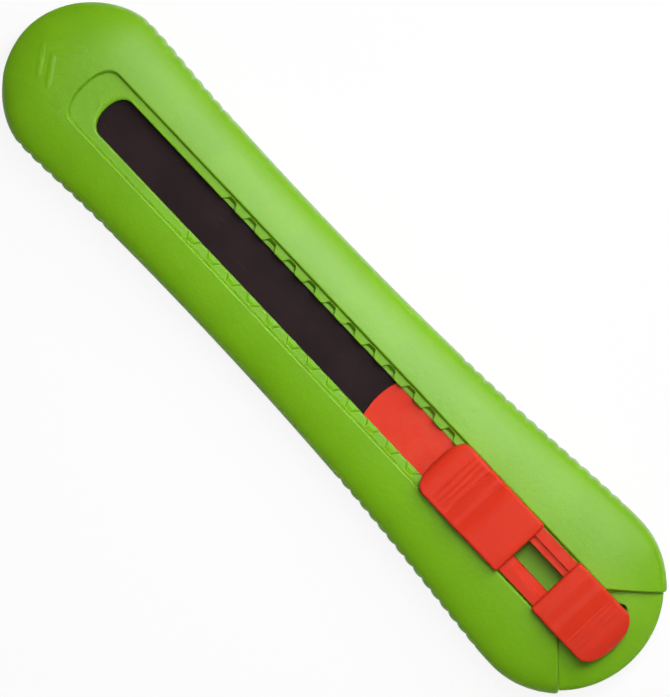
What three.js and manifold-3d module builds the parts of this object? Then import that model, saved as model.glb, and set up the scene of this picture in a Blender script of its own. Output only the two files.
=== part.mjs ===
// Utility knife with a retractable one-piece blade, a sliding thumb carriage and a pull-off end cap.
// Millimetres, +Z up. The knife lies on its flat back, its nose points to -X, and the origin is
// under the middle of its length. Inside the file, x runs from the nose tip (0) to the rear end.
import * as THREE from 'three';
import { mergeVertices } from 'three/addons/utils/BufferGeometryUtils.js';
import Module from 'manifold-3d';

const wasm = await Module();
wasm.setup();

// ---- Driving dimensions ----------------------------------------------------------------------

// Body outline, seen from above: a rounded nose, a waist and a wider rounded tail.
const bodyLength = 160;
const noseLength = 15.2; // from the nose tip to the widest part of the nose
const noseHalfWidth = 16.25;
const noseFullness = 1.9; // superellipse exponent of the nose
const waistX = 59;
const waistHalfWidth = 14.9;
const tailLength = 17.2; // from the widest part of the tail to the rear end
const tailHalfWidth = 18.96;
const flankEase = { nose: 0.18, waistFront: 0.66, waistRear: 0.62, tail: 0.17 }; // share of each flank

// Body section: a crowned front shell above the seam, an upright side band below it, and a
// rounded underside that is planed flat to lie on.
const frontHeight = 4.3; // crown above the seam between the shells
const sideHeight = 4.2;
const backHeight = 5.5; // lower edge of the side band above the flat back
const backPlaned = 0.6; // height that the flat takes off the rounded back
const frontRoundness = 2.4; // superellipse exponents of the two sections
const backRoundness = 3;
const shellWall = 1.8;
const floorWall = 2;

// Recess, blade slot and the two racks of notches beside the slot.
const recessFront = 14.6;
const recessHalfWidth = 5.95;
const recessDepth = 0.9;
const recessEndDepth = 2.6;
const recessEndFullness = 3; // superellipse exponents of the rounded ends
const slotFront = 20.5;
const slotHalfWidth = 4.2;
const slotWall = 1.4;
const slotEndDepth = 2.4;
const slotEndFullness = 2.2;
const notchPitch = 5.27;
const notchCount = 18;
const notchDepth = 0.7;
const notchReach = 1.2;
const notchBase = 2.9; // length at the slot edge
const notchTip = 1.4; // length at the far side

// Rear of the shells: a V that opens rearwards and shows the end cap.
const veeDepth = 19.3; // from the apex to the rear end
const veeHalfAngle = THREE.MathUtils.degToRad(43);

// Blade.
const bladeTipX = 6; // behind the nose tip when shut
const bladeButt = 3.4; // from the rear peg to the rear edge
const bladeHalfWidth = 9;
const bladeThickness = 0.6;
const buttChamfer = 1.2;

// Guides above and beside the blade, and the tray under it.
const guideWall = 1;
const trayFront = 19;
const trayEndGap = 1.7; // ahead of the apex of the V
const railWidth = 2.8;
const deckDrop = 0.65; // deck below the rails, room for the ends of the blade pegs
const deckThickness = 1;
const legThickness = 1.4;
const fenceThickness = 1;
const fenceHeight = 2;
const fenceShort = 10; // shorter than the tray at each end

// Slider: a carrier below the slot, a bridge above it, and two thumb pads.
const sliderSetback = 9.4; // rear edge of the carrier ahead of the rear end of the body
const carrierLength = 57.7;
const tongueThickness = 0.8;
const tongueHalfWidth = 6.5;
const tongueBow = 15; // radius of the front edge
const wingGap = 0.4; // behind the blade
const tongueShown = 17.4; // length of the tongue ahead of the spine
const bridgeThickness = 0.75;
const bridgeHalfWidth = 5.6;
const bridgeOverhang = 2; // behind the carrier
const bridgeEndRadius = 2;
const windowSetback = 9.4; // rear edge of the window ahead of the rear edge of the carrier
const windowLength = 11.6;
const windowHalfWidth = 2.05; // in the carrier
const bridgeWindowHalfWidth = 3.5;
const padHalfWidth = 6.15;
const padWall = 1.25;
const padRoof = 1.2;
const padEdgeRadius = 0.3;
const padCornerRadius = 0.5;
const padEndFullness = 2.4;
const padLow = 0.9; // heights above the underside of the pads
const padRidges = 2.1;
const padHump = 2.85;
const padSaddle = 2.1;
const ridgeCount = 4;
const ridgeHeight = 0.16;
const padOverWindow = 1.2; // how far each pad reaches over the window
const humpShoulder = 0.7;
// Each pad has a rounded outer end and faces the other with its low saddle end. The places of
// its first ridge, its hump and its saddle are measured from the outer end.
const frontPad = {
  length: 22.2, endDepth: 2.85,
  ridges: 3.6, ridgePitch: 1.26, hump: 8.9, humpEnd: 12.1, saddle: 13.6,
};
const rearPad = {
  length: 15.7, endDepth: 3,
  ridges: 3.2, ridgePitch: 1.05, hump: 7.1, humpEnd: 11.2, saddle: 13,
};

// Lock: the front pad is a lever that rocks on a cross pin and drops two lugs into the racks.
const lockNotches = 12; // notches that the slider passes from shut to fully out
const pivotSetback = 10.8; // ahead of the saddle end of the lever
const pivotHeight = 0.75; // above the bridge
const pinRadius = 0.45;
const pivotBlockLength = 2.2;
const pivotBlockHalfWidth = 2.8;
const pivotBlockRoof = 0.2;
const pinBite = 0.5; // how far the pin reaches into each side of the lever
const pressAngle = THREE.MathUtils.degToRad(5.5);
const leverRoomFront = 3.75; // solid ends of the lever, ahead of and behind its hollow
const leverRoomRear = 2.5;
const lugSetback = 3.44; // behind the rounded end of the lever
const lugBase = 2.1;
const lugTip = 1.1;
const lugWidth = 0.8;
const springThickness = 0.25;
const springHalfWidth = 2;
const springLength = 6.3;
const springFoot = 1.3;
const springOffset = 1.2; // behind the pivot block

// Pegs, pins and screws.
const pegRadius = 1.2;
const pegSpacing = 8;
const pegSetback = 30; // rear peg ahead of the rear edge of the carrier
const pegDepth = 1.4; // into the carrier
const padScrewSetback = 6.5; // behind the saddle end of the rear pad
const sliderScrewRadius = 0.7;
const sliderScrewLength = 2;
const sliderScrewHeadRadius = 1.5;
const sliderScrewHeadHeight = 0.6;
const padPegRadius = 0.8;
const padPegSetback = 10; // behind the saddle end of the rear pad
const padPegY = 3.2;
const shellScrewRadius = 0.9;
const shellScrewLength = 8.8;
const shellScrewHeadRadius = 2.1;
const shellScrewHeadHeight = 1.5;
const screwHeadSeat = 2.9; // above the flat back
const bossWall = 1.6;
const bossSplitZ = 6; // where the posts of the two shells meet
const noseScrewSetback = 2.2; // ahead of the widest part of the nose
const noseScrewInset = 4.05; // inside the widest part of the nose
const tailScrewSetback = 9.8;
const tailScrewInset = 5.56;

// End cap.
const capStep = 0.55; // the cap stands inside the outline of the shells
const capDrop = 0.8; // and below their surface
const spigotSetback = 0.3; // behind the apex of the V
const spigotWall = 1.1;
const spigotFloorHalfWidth = 9.5;
const spigotHeelDrop = 1.7; // slanted lower corners start below the upright side band
const spigotTopRise = 0.5; // above the seam
const pocketGap = 0.4; // behind the bridge
const pocketReliefRadius = 1.3;
const pocketReliefInset = 0.7; // inside the corners of the pocket

// Clearances.
const slideGap = 0.2; // carrier and bridge against the slot wall
const sideGap = 0.3; // beside sliding pieces
const bladeGap = 0.25; // above and below the blade
const bladeSideGap = 0.2;
const leverGap = 0.1; // lever above the bridge
const pinGap = 0.05;
const pegGap = 0.1;
const boreGap = 0.05; // pressed pegs and screw threads
const screwShankGap = 0.3;
const headGap = 0.2;
const capGap = 0.25;
const mouthGap = 0.3;

// ---- Heights and places worked out from them -------------------------------------------------

const seamZ = backHeight + sideHeight;
const crownZ = seamZ + frontHeight;
const recessZ = crownZ - recessDepth;
const notchZ = recessZ - notchDepth;
const slotUndersideZ = recessZ - slotWall;
const tongueTopZ = slotUndersideZ - slideGap;
const bladeTopZ = tongueTopZ - tongueThickness;
const bladeBottomZ = bladeTopZ - bladeThickness;
const guideZ = bladeTopZ + bladeGap;
const railZ = bladeBottomZ - bladeGap;
const deckZ = railZ - deckDrop;
const deckUndersideZ = deckZ - deckThickness;
const bridgeZ = recessZ + slideGap;
const bridgeTopZ = bridgeZ + bridgeThickness;
const pivotZ = bridgeTopZ + pivotHeight;
const pegBottomZ = deckZ + sideGap;

const channelHalfWidth = bladeHalfWidth + bladeSideGap;
const guideHalfWidth = channelHalfWidth + guideWall;
const tailX = bodyLength - tailLength;
const veeApexX = bodyLength - veeDepth;
const trayRear = veeApexX - trayEndGap;
const carrierRear = bodyLength - sliderSetback;
const tongueFront = carrierRear - carrierLength;
const spineFront = tongueFront + tongueShown;
const bridgeRear = carrierRear + bridgeOverhang;
const windowEnd = carrierRear - windowSetback;
const windowStart = windowEnd - windowLength;
const leverEnd = windowStart + padOverWindow;
const leverStart = leverEnd - frontPad.length;
const thumbPadStart = windowEnd - padOverWindow;
const thumbPadEnd = thumbPadStart + rearPad.length;
const pegXs = [carrierRear - pegSetback - pegSpacing, carrierRear - pegSetback];
const sliderScrewXs = [(pegXs[0] + pegXs[1]) / 2, thumbPadStart + padScrewSetback];
const padPegX = thumbPadStart + padPegSetback;
const pivotX = leverEnd - pivotSetback;
const lugX = leverStart + lugSetback;
const travel = lockNotches * notchPitch;
const notchFirstX = lugX - travel;
const spineHalfWidth = slotHalfWidth - slideGap;
const lugInner = slotHalfWidth + (notchReach - lugWidth) / 2;
const bladeRear = pegXs[1] + bladeButt;
const wingFront = bladeRear + wingGap;
const spigotFront = veeApexX + spigotSetback;
const pocketEnd = bridgeRear + pocketGap;
const pocketHalfWidth = bridgeHalfWidth + sideGap;
const screwPlaces = [
  { end: 'nose', x: noseLength - noseScrewSetback, y: noseHalfWidth - noseScrewInset },
  { end: 'tail', x: tailX - tailScrewSetback, y: tailHalfWidth - tailScrewInset },
];
const underside = bridgeTopZ + leverGap; // of the front pad
const beyond = 20; // how far cutting tools run past what they cut
const sides = [-1, 1];

// ---- Solids ----------------------------------------------------------------------------------

function solid(geometry) {
  const bare = new THREE.BufferGeometry();
  bare.setAttribute('position', geometry.getAttribute('position'));
  bare.setIndex(geometry.getIndex());
  const merged = mergeVertices(bare, 1e-5);
  const index = merged.getIndex().array;
  const faces = [];
  for (let i = 0; i < index.length; i += 3) {
    const [a, b, c] = [index[i], index[i + 1], index[i + 2]];
    if (a !== b && b !== c && c !== a) faces.push(a, b, c);
  }
  return new wasm.Manifold(new wasm.Mesh({
    numProp: 3,
    vertProperties: new Float32Array(merged.getAttribute('position').array),
    triVerts: new Uint32Array(faces),
  }));
}

function geometryOf(manifold) {
  const mesh = manifold.getMesh();
  const geometry = new THREE.BufferGeometry();
  geometry.setAttribute('position', new THREE.BufferAttribute(mesh.vertProperties, 3));
  geometry.setIndex(new THREE.BufferAttribute(mesh.triVerts, 1));
  geometry.computeVertexNormals();
  return geometry;
}

const join = (first, ...rest) => rest.reduce((sum, piece) => sum.add(piece), first);
const cut = (first, ...rest) => rest.reduce((left, tool) => left.subtract(tool), first);

function box(x0, x1, y0, y1, z0, z1) {
  const geometry = new THREE.BoxGeometry(x1 - x0, y1 - y0, z1 - z0);
  return solid(geometry.translate((x0 + x1) / 2, (y0 + y1) / 2, (z0 + z1) / 2));
}

// A box that reaches as far to the left of the middle as to the right.
const midBox = (x0, x1, halfWidth, z0, z1) => box(x0, x1, -halfWidth, halfWidth, z0, z1);

// A plan outline (x, y) between two heights.
function prism(outline, z0, z1) {
  const shape = new THREE.Shape(outline);
  const geometry = new THREE.ExtrudeGeometry(shape, { depth: z1 - z0, bevelEnabled: false });
  return solid(geometry.translate(0, 0, z0));
}

// A side profile (x, z) across the width between two y values.
function crossPrism(profile, y0, y1) {
  const shape = new THREE.Shape(profile);
  const geometry = new THREE.ExtrudeGeometry(shape, { depth: y1 - y0, bevelEnabled: false });
  return solid(geometry.rotateX(Math.PI / 2).translate(0, y1, 0));
}

function post(x, y, radius, z0, z1, segments = 24) {
  const geometry = new THREE.CylinderGeometry(radius, radius, z1 - z0, segments);
  return solid(geometry.rotateX(Math.PI / 2).translate(x, y, (z0 + z1) / 2));
}

function crossRod(x, z, radius, y0, y1) {
  const geometry = new THREE.CylinderGeometry(radius, radius, y1 - y0, 16);
  return solid(geometry.translate(x, (y0 + y1) / 2, z));
}

const point = (x, y) => new THREE.Vector2(x, y);

// Half of a rounded end that bulges towards -x: from the tip on the axis out to the full width.
function roundedEnd(tipX, depth, halfWidth, fullness, steps = 8) {
  const points = [];
  for (let i = 0; i <= steps; i++) {
    const angle = (i / steps) * Math.PI / 2;
    const along = Math.cos(angle) ** (2 / fullness);
    const across = Math.sin(angle) ** (2 / fullness);
    points.push(point(tipX + depth * (1 - along), halfWidth * across));
  }
  return points;
}

// A symmetric outline from its upper half, which starts and may end on the axis.
function mirrored(half) {
  const lower = half.filter((p) => p.y > 1e-9).map((p) => point(p.x, -p.y)).reverse();
  return [...lower, ...half].reverse();
}

// A long opening or plate with a rounded front end and a square rear end.
function tongueShape(tipX, depth, halfWidth, fullness, rearX) {
  return mirrored([...roundedEnd(tipX, depth, halfWidth, fullness), point(rearX, halfWidth)]);
}

// ---- Outer form of the body ------------------------------------------------------------------

// Upper half of the outline, from the nose tip to the rear end. Each point carries the point of
// the spine that the crown rises towards.
function bodyOutline(inset, noseSteps = 11, flankSteps = 9, tailSteps = 11) {
  const points = [];
  for (let i = 0; i < noseSteps; i++) {
    const angle = (i / noseSteps) * Math.PI / 2;
    const along = Math.cos(angle) ** (2 / noseFullness);
    const across = Math.sin(angle) ** (2 / noseFullness);
    const x = noseLength - (noseLength - inset) * along;
    points.push({ x, y: (noseHalfWidth - inset) * across, spine: noseLength });
  }
  const reach = waistX - noseLength;
  const run = tailX - waistX;
  const flanks = [
    new THREE.CubicBezierCurve(
      point(noseLength, noseHalfWidth), point(noseLength + flankEase.nose * reach, noseHalfWidth),
      point(waistX - flankEase.waistFront * reach, waistHalfWidth), point(waistX, waistHalfWidth)),
    new THREE.CubicBezierCurve(
      point(waistX, waistHalfWidth), point(waistX + flankEase.waistRear * run, waistHalfWidth),
      point(tailX - flankEase.tail * run, tailHalfWidth), point(tailX, tailHalfWidth)),
  ];
  for (const flank of flanks) {
    for (let i = 0; i < flankSteps; i++) {
      const p = flank.getPoint(i / flankSteps);
      points.push({ x: p.x, y: p.y - inset, spine: p.x });
    }
  }
  for (let i = 0; i <= tailSteps; i++) {
    const angle = (i / tailSteps) * Math.PI / 2;
    const x = tailX + (tailLength + capStep - inset) * Math.sin(angle);
    const y = i < tailSteps ? (tailHalfWidth - inset) * Math.cos(angle) : 0;
    points.push({ x, y, spine: tailX });
  }
  return points;
}

// The whole rounded body, shrunk by an inset, with its own heights above and below the seam.
function bodyForm(inset, above, below, frontSteps = 7, backSteps = 6) {
  const half = bodyOutline(inset);
  const lower = half.slice(1, -1).map((p) => ({ ...p, y: -p.y })).reverse();
  const loop = [...half, ...lower];
  const rows = [];
  const addRow = (share, roundness, startZ, height) => {
    const angle = share * Math.PI / 2;
    const spread = share < 1 ? Math.cos(angle) ** (2 / roundness) : 0;
    const z = startZ + height * Math.sin(angle) ** (2 / roundness);
    rows.push(loop.map((p) => [p.spine + (p.x - p.spine) * spread, p.y * spread, z]));
  };
  for (let k = backSteps; k >= 0; k--) addRow(k / backSteps, backRoundness, backHeight, -below);
  for (let k = 0; k <= frontSteps; k++) addRow(k / frontSteps, frontRoundness, seamZ, above);
  const columns = loop.length;
  const faces = [];
  for (let r = 0; r + 1 < rows.length; r++) {
    for (let c = 0; c < columns; c++) {
      const next = (c + 1) % columns;
      const [a, b] = [r * columns + c, r * columns + next];
      const [d, e] = [a + columns, b + columns];
      faces.push(a, d, b, b, d, e);
    }
  }
  const geometry = new THREE.BufferGeometry();
  const positions = new THREE.Float32BufferAttribute(rows.flat(2), 3);
  geometry.setAttribute('position', positions);
  geometry.setIndex(faces);
  return solid(geometry);
}

const wide = bodyLength; // wider than anything that it cuts
const everythingAbove = (z) => box(-wide, 2 * wide, -wide, wide, z, z + wide);
const everythingBelow = (z) => box(-wide, 2 * wide, -wide, wide, z - wide, z);

const bodyOuter = bodyForm(0, frontHeight, backHeight + backPlaned);
const bodyInner = bodyForm(shellWall, frontHeight - shellWall, backHeight + backPlaned - shellWall);

// Everything behind the V, moved rearwards by a gap.
function behindVee(gap) {
  const apex = veeApexX + gap / Math.sin(veeHalfAngle);
  const reach = bodyLength;
  const half = reach * Math.tan(veeHalfAngle);
  const outline = [point(apex, 0), point(apex + reach, -half), point(apex + reach, half)];
  return prism(outline, -beyond, crownZ + beyond);
}

// ---- Front shell -----------------------------------------------------------------------------

function rackNotches() {
  const notches = [];
  for (let i = 0; i < notchCount; i++) {
    const x = notchFirstX + i * notchPitch;
    for (const side of sides) {
      const inner = side * (slotHalfWidth - 2 * slideGap);
      const edge = side * slotHalfWidth;
      const far = side * (slotHalfWidth + notchReach);
      const outline = [
        point(x - notchBase / 2, inner), point(x + notchBase / 2, inner),
        point(x + notchBase / 2, edge), point(x + notchTip / 2, far),
        point(x - notchTip / 2, far), point(x - notchBase / 2, edge),
      ];
      notches.push(prism(side > 0 ? outline : outline.reverse(), notchZ, crownZ));
    }
  }
  return notches;
}

function frontShell() {
  const outer = cut(bodyOuter, everythingBelow(seamZ));
  const guides = midBox(noseLength, wide, guideHalfWidth, railZ, crownZ).intersect(outer);
  // The screw posts reach down past the seam, clear of the back shell's wall.
  const postRoom = bodyForm(shellWall + sideGap, frontHeight, backHeight);
  const postSpace = join(outer, cut(postRoom, everythingAbove(seamZ + boreGap)));
  const bosses = screwPlaces.flatMap(({ x, y }) => sides.map((side) => post(
    x, side * y, shellScrewRadius + bossWall, bossSplitZ, crownZ).intersect(postSpace)));
  const pilots = screwPlaces.flatMap(({ x, y }) => sides.map((side) => post(
    x, side * y, shellScrewRadius + boreGap,
    seamZ - beyond, screwHeadSeat + shellScrewLength + boreGap)));
  // The tongue's channel narrows near the nose, and its shoulders stop the slider.
  const cornerY = slotHalfWidth + sideGap;
  const cornerSag = tongueBow - Math.sqrt(tongueBow ** 2 - cornerY ** 2);
  const shoulderX = tongueFront + cornerSag - travel - sideGap;
  return cut(
    join(cut(outer, bodyInner), guides, ...bosses),
    midBox(noseLength, wide, channelHalfWidth, seamZ - beyond, guideZ),
    midBox(shoulderX, wide, tongueHalfWidth + sideGap, guideZ - slideGap, slotUndersideZ),
    midBox(noseLength, wide, cornerY, guideZ - slideGap, slotUndersideZ),
    prism(
      tongueShape(slotFront, slotEndDepth, slotHalfWidth, slotEndFullness, wide),
      guideZ, crownZ + beyond),
    prism(
      tongueShape(recessFront, recessEndDepth, recessHalfWidth, recessEndFullness, wide),
      recessZ, crownZ + beyond),
    midBox(-beyond, noseLength, bladeHalfWidth + mouthGap, seamZ - beyond, guideZ),
    behindVee(0),
    ...pilots,
    ...rackNotches());
}

// ---- Back shell ------------------------------------------------------------------------------

function backShell() {
  const outer = cut(bodyOuter, everythingAbove(seamZ), everythingBelow(0));
  const hollow = cut(bodyInner, everythingBelow(floorWall));
  const bossRadius = shellScrewHeadRadius + headGap + bossWall / 2;
  const bosses = screwPlaces.flatMap(({ x, y }) => sides.map(
    (side) => post(x, side * y, bossRadius, 0, bossSplitZ).intersect(outer)));
  const bores = screwPlaces.flatMap(({ x, y }) => sides.flatMap((side) => [
    post(x, side * y, shellScrewRadius + screwShankGap, -beyond, seamZ + beyond),
    post(x, side * y, shellScrewHeadRadius + headGap, -beyond, screwHeadSeat),
  ]));
  const legOuter = trayLegInner() + legThickness;
  const fences = sides.map((side) => {
    const near = side * (legOuter + slideGap);
    const far = side * (legOuter + slideGap + fenceThickness);
    const [y0, y1] = [Math.min(near, far), Math.max(near, far)];
    return box(
      trayFront + fenceShort, trayRear - fenceShort, y0, y1,
      floorWall / 2, floorWall + fenceHeight).intersect(outer);
  });
  return cut(join(cut(outer, hollow), ...bosses, ...fences), behindVee(0), ...bores);
}

// ---- Guide tray ------------------------------------------------------------------------------

function trayLegInner() {
  return guideHalfWidth - railWidth;
}

function guideTray() {
  const inner = trayLegInner();
  const legOuter = inner + legThickness;
  const half = [
    point(0, deckZ), point(inner, deckZ), point(inner, railZ), point(guideHalfWidth, railZ),
    point(guideHalfWidth, deckUndersideZ), point(legOuter, deckUndersideZ),
    point(legOuter, floorWall), point(inner, floorWall), point(inner, deckUndersideZ),
    point(0, deckUndersideZ),
  ];
  return lengthwise(half, trayFront, trayRear);
}

// ---- Blade and its pegs ----------------------------------------------------------------------

function blade() {
  const outline = mirrored([
    ...roundedEnd(bladeTipX, bladeHalfWidth, bladeHalfWidth, 2, 14),
    point(bladeRear - buttChamfer, bladeHalfWidth),
    point(bladeRear, bladeHalfWidth - buttChamfer),
  ]);
  const holes = pegXs.map((x) => post(x, 0, pegRadius + pegGap, -beyond, crownZ + beyond));
  return cut(prism(outline, bladeBottomZ, bladeTopZ), ...holes);
}

const bladePeg = (x) => post(x, 0, pegRadius, pegBottomZ, bladeTopZ + pegDepth);

// ---- Slider ----------------------------------------------------------------------------------

function tongueOutline() {
  const half = [];
  const steps = 6;
  for (let i = 0; i <= steps; i++) {
    const y = (i / steps) * tongueHalfWidth;
    half.push(point(tongueFront + tongueBow - Math.sqrt(tongueBow ** 2 - y ** 2), y));
  }
  half.push(point(trayRear, tongueHalfWidth));
  half.push(point(trayRear, bridgeHalfWidth));
  half.push(point(carrierRear, bridgeHalfWidth));
  return mirrored(half);
}

function bladeCarrier() {
  const wingHalfWidth = bladeHalfWidth - boreGap;
  const plate = prism(tongueOutline(), bladeTopZ, tongueTopZ);
  const wings = midBox(wingFront, trayRear, wingHalfWidth, bladeBottomZ, bladeTopZ);
  const spine = midBox(spineFront, carrierRear, spineHalfWidth, tongueTopZ, bridgeZ);
  const pegBores = pegXs.map(
    (x) => post(x, 0, pegRadius + boreGap, -beyond, bladeTopZ + pegDepth + boreGap));
  const screwBores = sliderScrewXs.map((x) => post(
    x, 0, sliderScrewRadius + boreGap, bridgeTopZ - sliderScrewLength - boreGap, crownZ + beyond));
  const window = midBox(windowStart, windowEnd, windowHalfWidth, -beyond, crownZ + beyond);
  return cut(join(plate, wings, spine), window, ...pegBores, ...screwBores);
}

function bridgeOutline() {
  const lugRoom = lugX + lugBase / 2 + 2 * sideGap;
  const half = [point(spineFront, 0), point(spineFront, spineHalfWidth)];
  half.push(point(lugRoom, spineHalfWidth), point(lugRoom, bridgeHalfWidth));
  const steps = 5;
  for (let i = 0; i <= steps; i++) {
    const angle = (i / steps) * Math.PI / 2;
    half.push(point(
      bridgeRear - bridgeEndRadius * (1 - Math.sin(angle)),
      bridgeHalfWidth - bridgeEndRadius * (1 - Math.cos(angle))));
  }
  half.push(point(bridgeRear, 0));
  return mirrored(half);
}

function sliderBridge() {
  const plate = prism(bridgeOutline(), bridgeZ, bridgeTopZ);
  const block = midBox(
    pivotX - pivotBlockLength / 2, pivotX + pivotBlockLength / 2, pivotBlockHalfWidth,
    bridgeZ, pivotZ + pinRadius + pinGap + pivotBlockRoof);
  const window = midBox(windowStart, windowEnd, bridgeWindowHalfWidth, -beyond, crownZ + beyond);
  const pinBore = crossRod(pivotX, pivotZ, pinRadius + pinGap, -beyond, beyond);
  const screwHoles = sliderScrewXs.map(
    (x) => post(x, 0, sliderScrewRadius + boreGap, -beyond, crownZ + beyond));
  const pegHoles = sides.map(
    (side) => post(padPegX, side * padPegY, padPegRadius + boreGap, -beyond, crownZ + beyond));
  return cut(join(plate, block), window, pinBore, ...screwHoles, ...pegHoles);
}

// Top line of a pad from its low outer end to its saddle end, as lengths and heights:
// rounded end, a row of ridges, the hump that the thumb pushes against, then the saddle.
function padTop(pad) {
  const { length } = pad;
  const shoulder = point(pad.endDepth * 0.4, padLow + 0.75 * (padRidges - padLow));
  const top = [point(0, padLow / 2), point(padEdgeRadius, padLow), shoulder];
  for (let i = 0; i < ridgeCount; i++) {
    const middle = pad.ridges + i * pad.ridgePitch;
    const level = padRidges + (i / ridgeCount) * 2 * ridgeHeight;
    top.push(point(middle - 0.4 * pad.ridgePitch, level - ridgeHeight));
    top.push(point(middle - 0.15 * pad.ridgePitch, level));
    top.push(point(middle + 0.15 * pad.ridgePitch, level));
  }
  const valley = pad.ridges + (ridgeCount - 0.45) * pad.ridgePitch;
  top.push(point(valley, padRidges));
  top.push(point(pad.hump, padHump - ridgeHeight), point(pad.hump + humpShoulder, padHump));
  top.push(point(pad.humpEnd - humpShoulder, padHump), point(pad.humpEnd, padHump - ridgeHeight));
  top.push(point(pad.saddle, padSaddle), point(length - padEdgeRadius, padSaddle));
  top.push(point(length, padSaddle - padEdgeRadius));
  return top;
}

// Plan outline of a pad: one rounded end and one straight end with small corners.
function padOutline(pad) {
  const { length } = pad;
  const corner = padCornerRadius;
  return mirrored([
    ...roundedEnd(0, pad.endDepth, padHalfWidth, padEndFullness, 9),
    point(length - corner, padHalfWidth), point(length - 0.3 * corner, padHalfWidth - 0.3 * corner),
    point(length, padHalfWidth - corner), point(length, 0),
  ]);
}

function lockLever() {
  const rise = (leverEnd - pivotX) * Math.tan(pressAngle);
  const top = padTop(frontPad).map((p) => point(leverStart + p.x, underside + p.y));
  const profile = [
    point(leverStart, underside), point(pivotX, underside), point(leverEnd, underside + rise),
    ...top.reverse(),
  ];
  const outline = padOutline(frontPad).map((p) => point(leverStart + p.x, p.y));
  const body = crossPrism(profile, -padHalfWidth, padHalfWidth)
    .intersect(prism(outline, 0, crownZ + beyond));
  const blockTop = pivotZ + pinRadius + pinGap + pivotBlockRoof;
  const roomHalfWidth = padHalfWidth - padWall;
  const room = midBox(
    leverStart + leverRoomFront, leverEnd - leverRoomRear, roomHalfWidth,
    underside - beyond, underside + padRidges - padRoof);
  const blockRoom = midBox(
    pivotX - pivotBlockLength / 2 - 2 * sideGap, pivotX + pivotBlockLength / 2 + 2 * sideGap,
    roomHalfWidth, underside - beyond, blockTop + 2 * leverGap);
  const pinHoles = crossRod(
    pivotX, pivotZ, pinRadius + pinGap, -roomHalfWidth - pinBite, roomHalfWidth + pinBite);
  const lugs = sides.map((side) => {
    const inner = side * lugInner;
    const outer = side * (lugInner + lugWidth);
    const plan = [
      point(lugX - lugBase / 2, inner), point(lugX + lugBase / 2, inner),
      point(lugX + lugTip / 2, outer), point(lugX - lugTip / 2, outer),
    ];
    return prism(side > 0 ? plan : plan.reverse(), notchZ + sideGap / 2, underside + padRidges - padRoof);
  });
  return join(cut(body, room, blockRoom, pinHoles), ...lugs);
}

function pivotPin() {
  const reach = padHalfWidth - padWall + pinBite - pinGap;
  return crossRod(pivotX, pivotZ, pinRadius, -reach, reach);
}

// An arched leaf between the bridge and the saddle of the lever.
function lockSpring() {
  const start = pivotX + pivotBlockLength / 2 + springOffset;
  const roofZ = underside + padRidges - padRoof;
  const rise = roofZ - leverGap - springThickness - bridgeTopZ;
  const arch = [point(start, bridgeTopZ), point(start + springFoot, bridgeTopZ)];
  const steps = 10;
  for (let i = 1; i <= steps; i++) {
    const share = i / steps;
    const height = rise * Math.sin(share * 0.8 * Math.PI);
    arch.push(point(start + springFoot + share * (springLength - springFoot), bridgeTopZ + height));
  }
  const upper = arch.map((p) => point(p.x, p.y + springThickness)).reverse();
  return crossPrism([...arch, ...upper], -springHalfWidth, springHalfWidth);
}

function thumbPad() {
  const top = padTop(rearPad).map((p) => point(thumbPadEnd - p.x, bridgeTopZ + p.y));
  const profile = [point(thumbPadStart, bridgeTopZ), point(thumbPadEnd, bridgeTopZ), ...top];
  const outline = padOutline(rearPad).map((p) => point(thumbPadEnd - p.x, p.y));
  const body = crossPrism(profile, -padHalfWidth, padHalfWidth)
    .intersect(prism(outline.reverse(), 0, crownZ + beyond));
  const headRoom = post(
    sliderScrewXs[1], 0, sliderScrewHeadRadius + headGap, -beyond,
    bridgeTopZ + sliderScrewHeadHeight + headGap);
  const pegs = sides.map((side) => post(
    padPegX, side * padPegY, padPegRadius, bridgeZ + boreGap, bridgeTopZ + padLow / 2));
  return join(cut(body, headRoom), ...pegs);
}

// ---- Screws ----------------------------------------------------------------------------------

// A pan-head screw along z with its head's seat at z = 0 and its shank pointing up.
function screw(radius, length, headRadius, headHeight) {
  const tip = radius;
  const profile = [
    point(0, -headHeight), point(0.8 * headRadius, -headHeight), point(headRadius, -0.6 * headHeight),
    point(headRadius, 0), point(radius, 0), point(radius, length - tip), point(0, length),
  ];
  const body = solid(new THREE.LatheGeometry(profile, 20).rotateX(Math.PI / 2));
  const slotLength = 0.65 * headRadius;
  const slotWidth = 0.16 * headRadius;
  const slotTop = -0.45 * headHeight;
  return cut(
    body,
    box(-slotLength, slotLength, -slotWidth, slotWidth, -beyond, slotTop),
    box(-slotWidth, slotWidth, -slotLength, slotLength, -beyond, slotTop));
}

// ---- End cap ---------------------------------------------------------------------------------

function endCap() {
  const spigotInset = shellWall + capGap;
  const wallInset = spigotInset + spigotWall;
  const below = backHeight + backPlaned;
  const cup = bodyForm(capStep, frontHeight - capDrop, below - capDrop)
    .intersect(behindVee(capGap));
  const floorTop = floorWall + capGap + spigotWall;
  const hollow = bodyForm(wallInset, frontHeight - wallInset, below - wallInset)
    .subtract(everythingBelow(floorTop));
  const spigot = spigotTrough()
    .intersect(bodyForm(spigotInset, frontHeight - spigotInset, below - spigotInset));
  const pocket = mirrored([
    point(spigotFront, 0), point(spigotFront, pocketHalfWidth),
    point(pocketEnd, pocketHalfWidth), point(pocketEnd, 0)]);
  const reliefs = sides.map((side) => post(
    pocketEnd - pocketReliefRadius, side * (pocketHalfWidth - pocketReliefInset),
    pocketReliefRadius, railZ, crownZ + beyond));
  return cut(
    join(cut(cup, everythingBelow(capDrop), hollow), spigot),
    prism(pocket, railZ - capGap, crownZ + beyond), ...reliefs);
}

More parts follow.
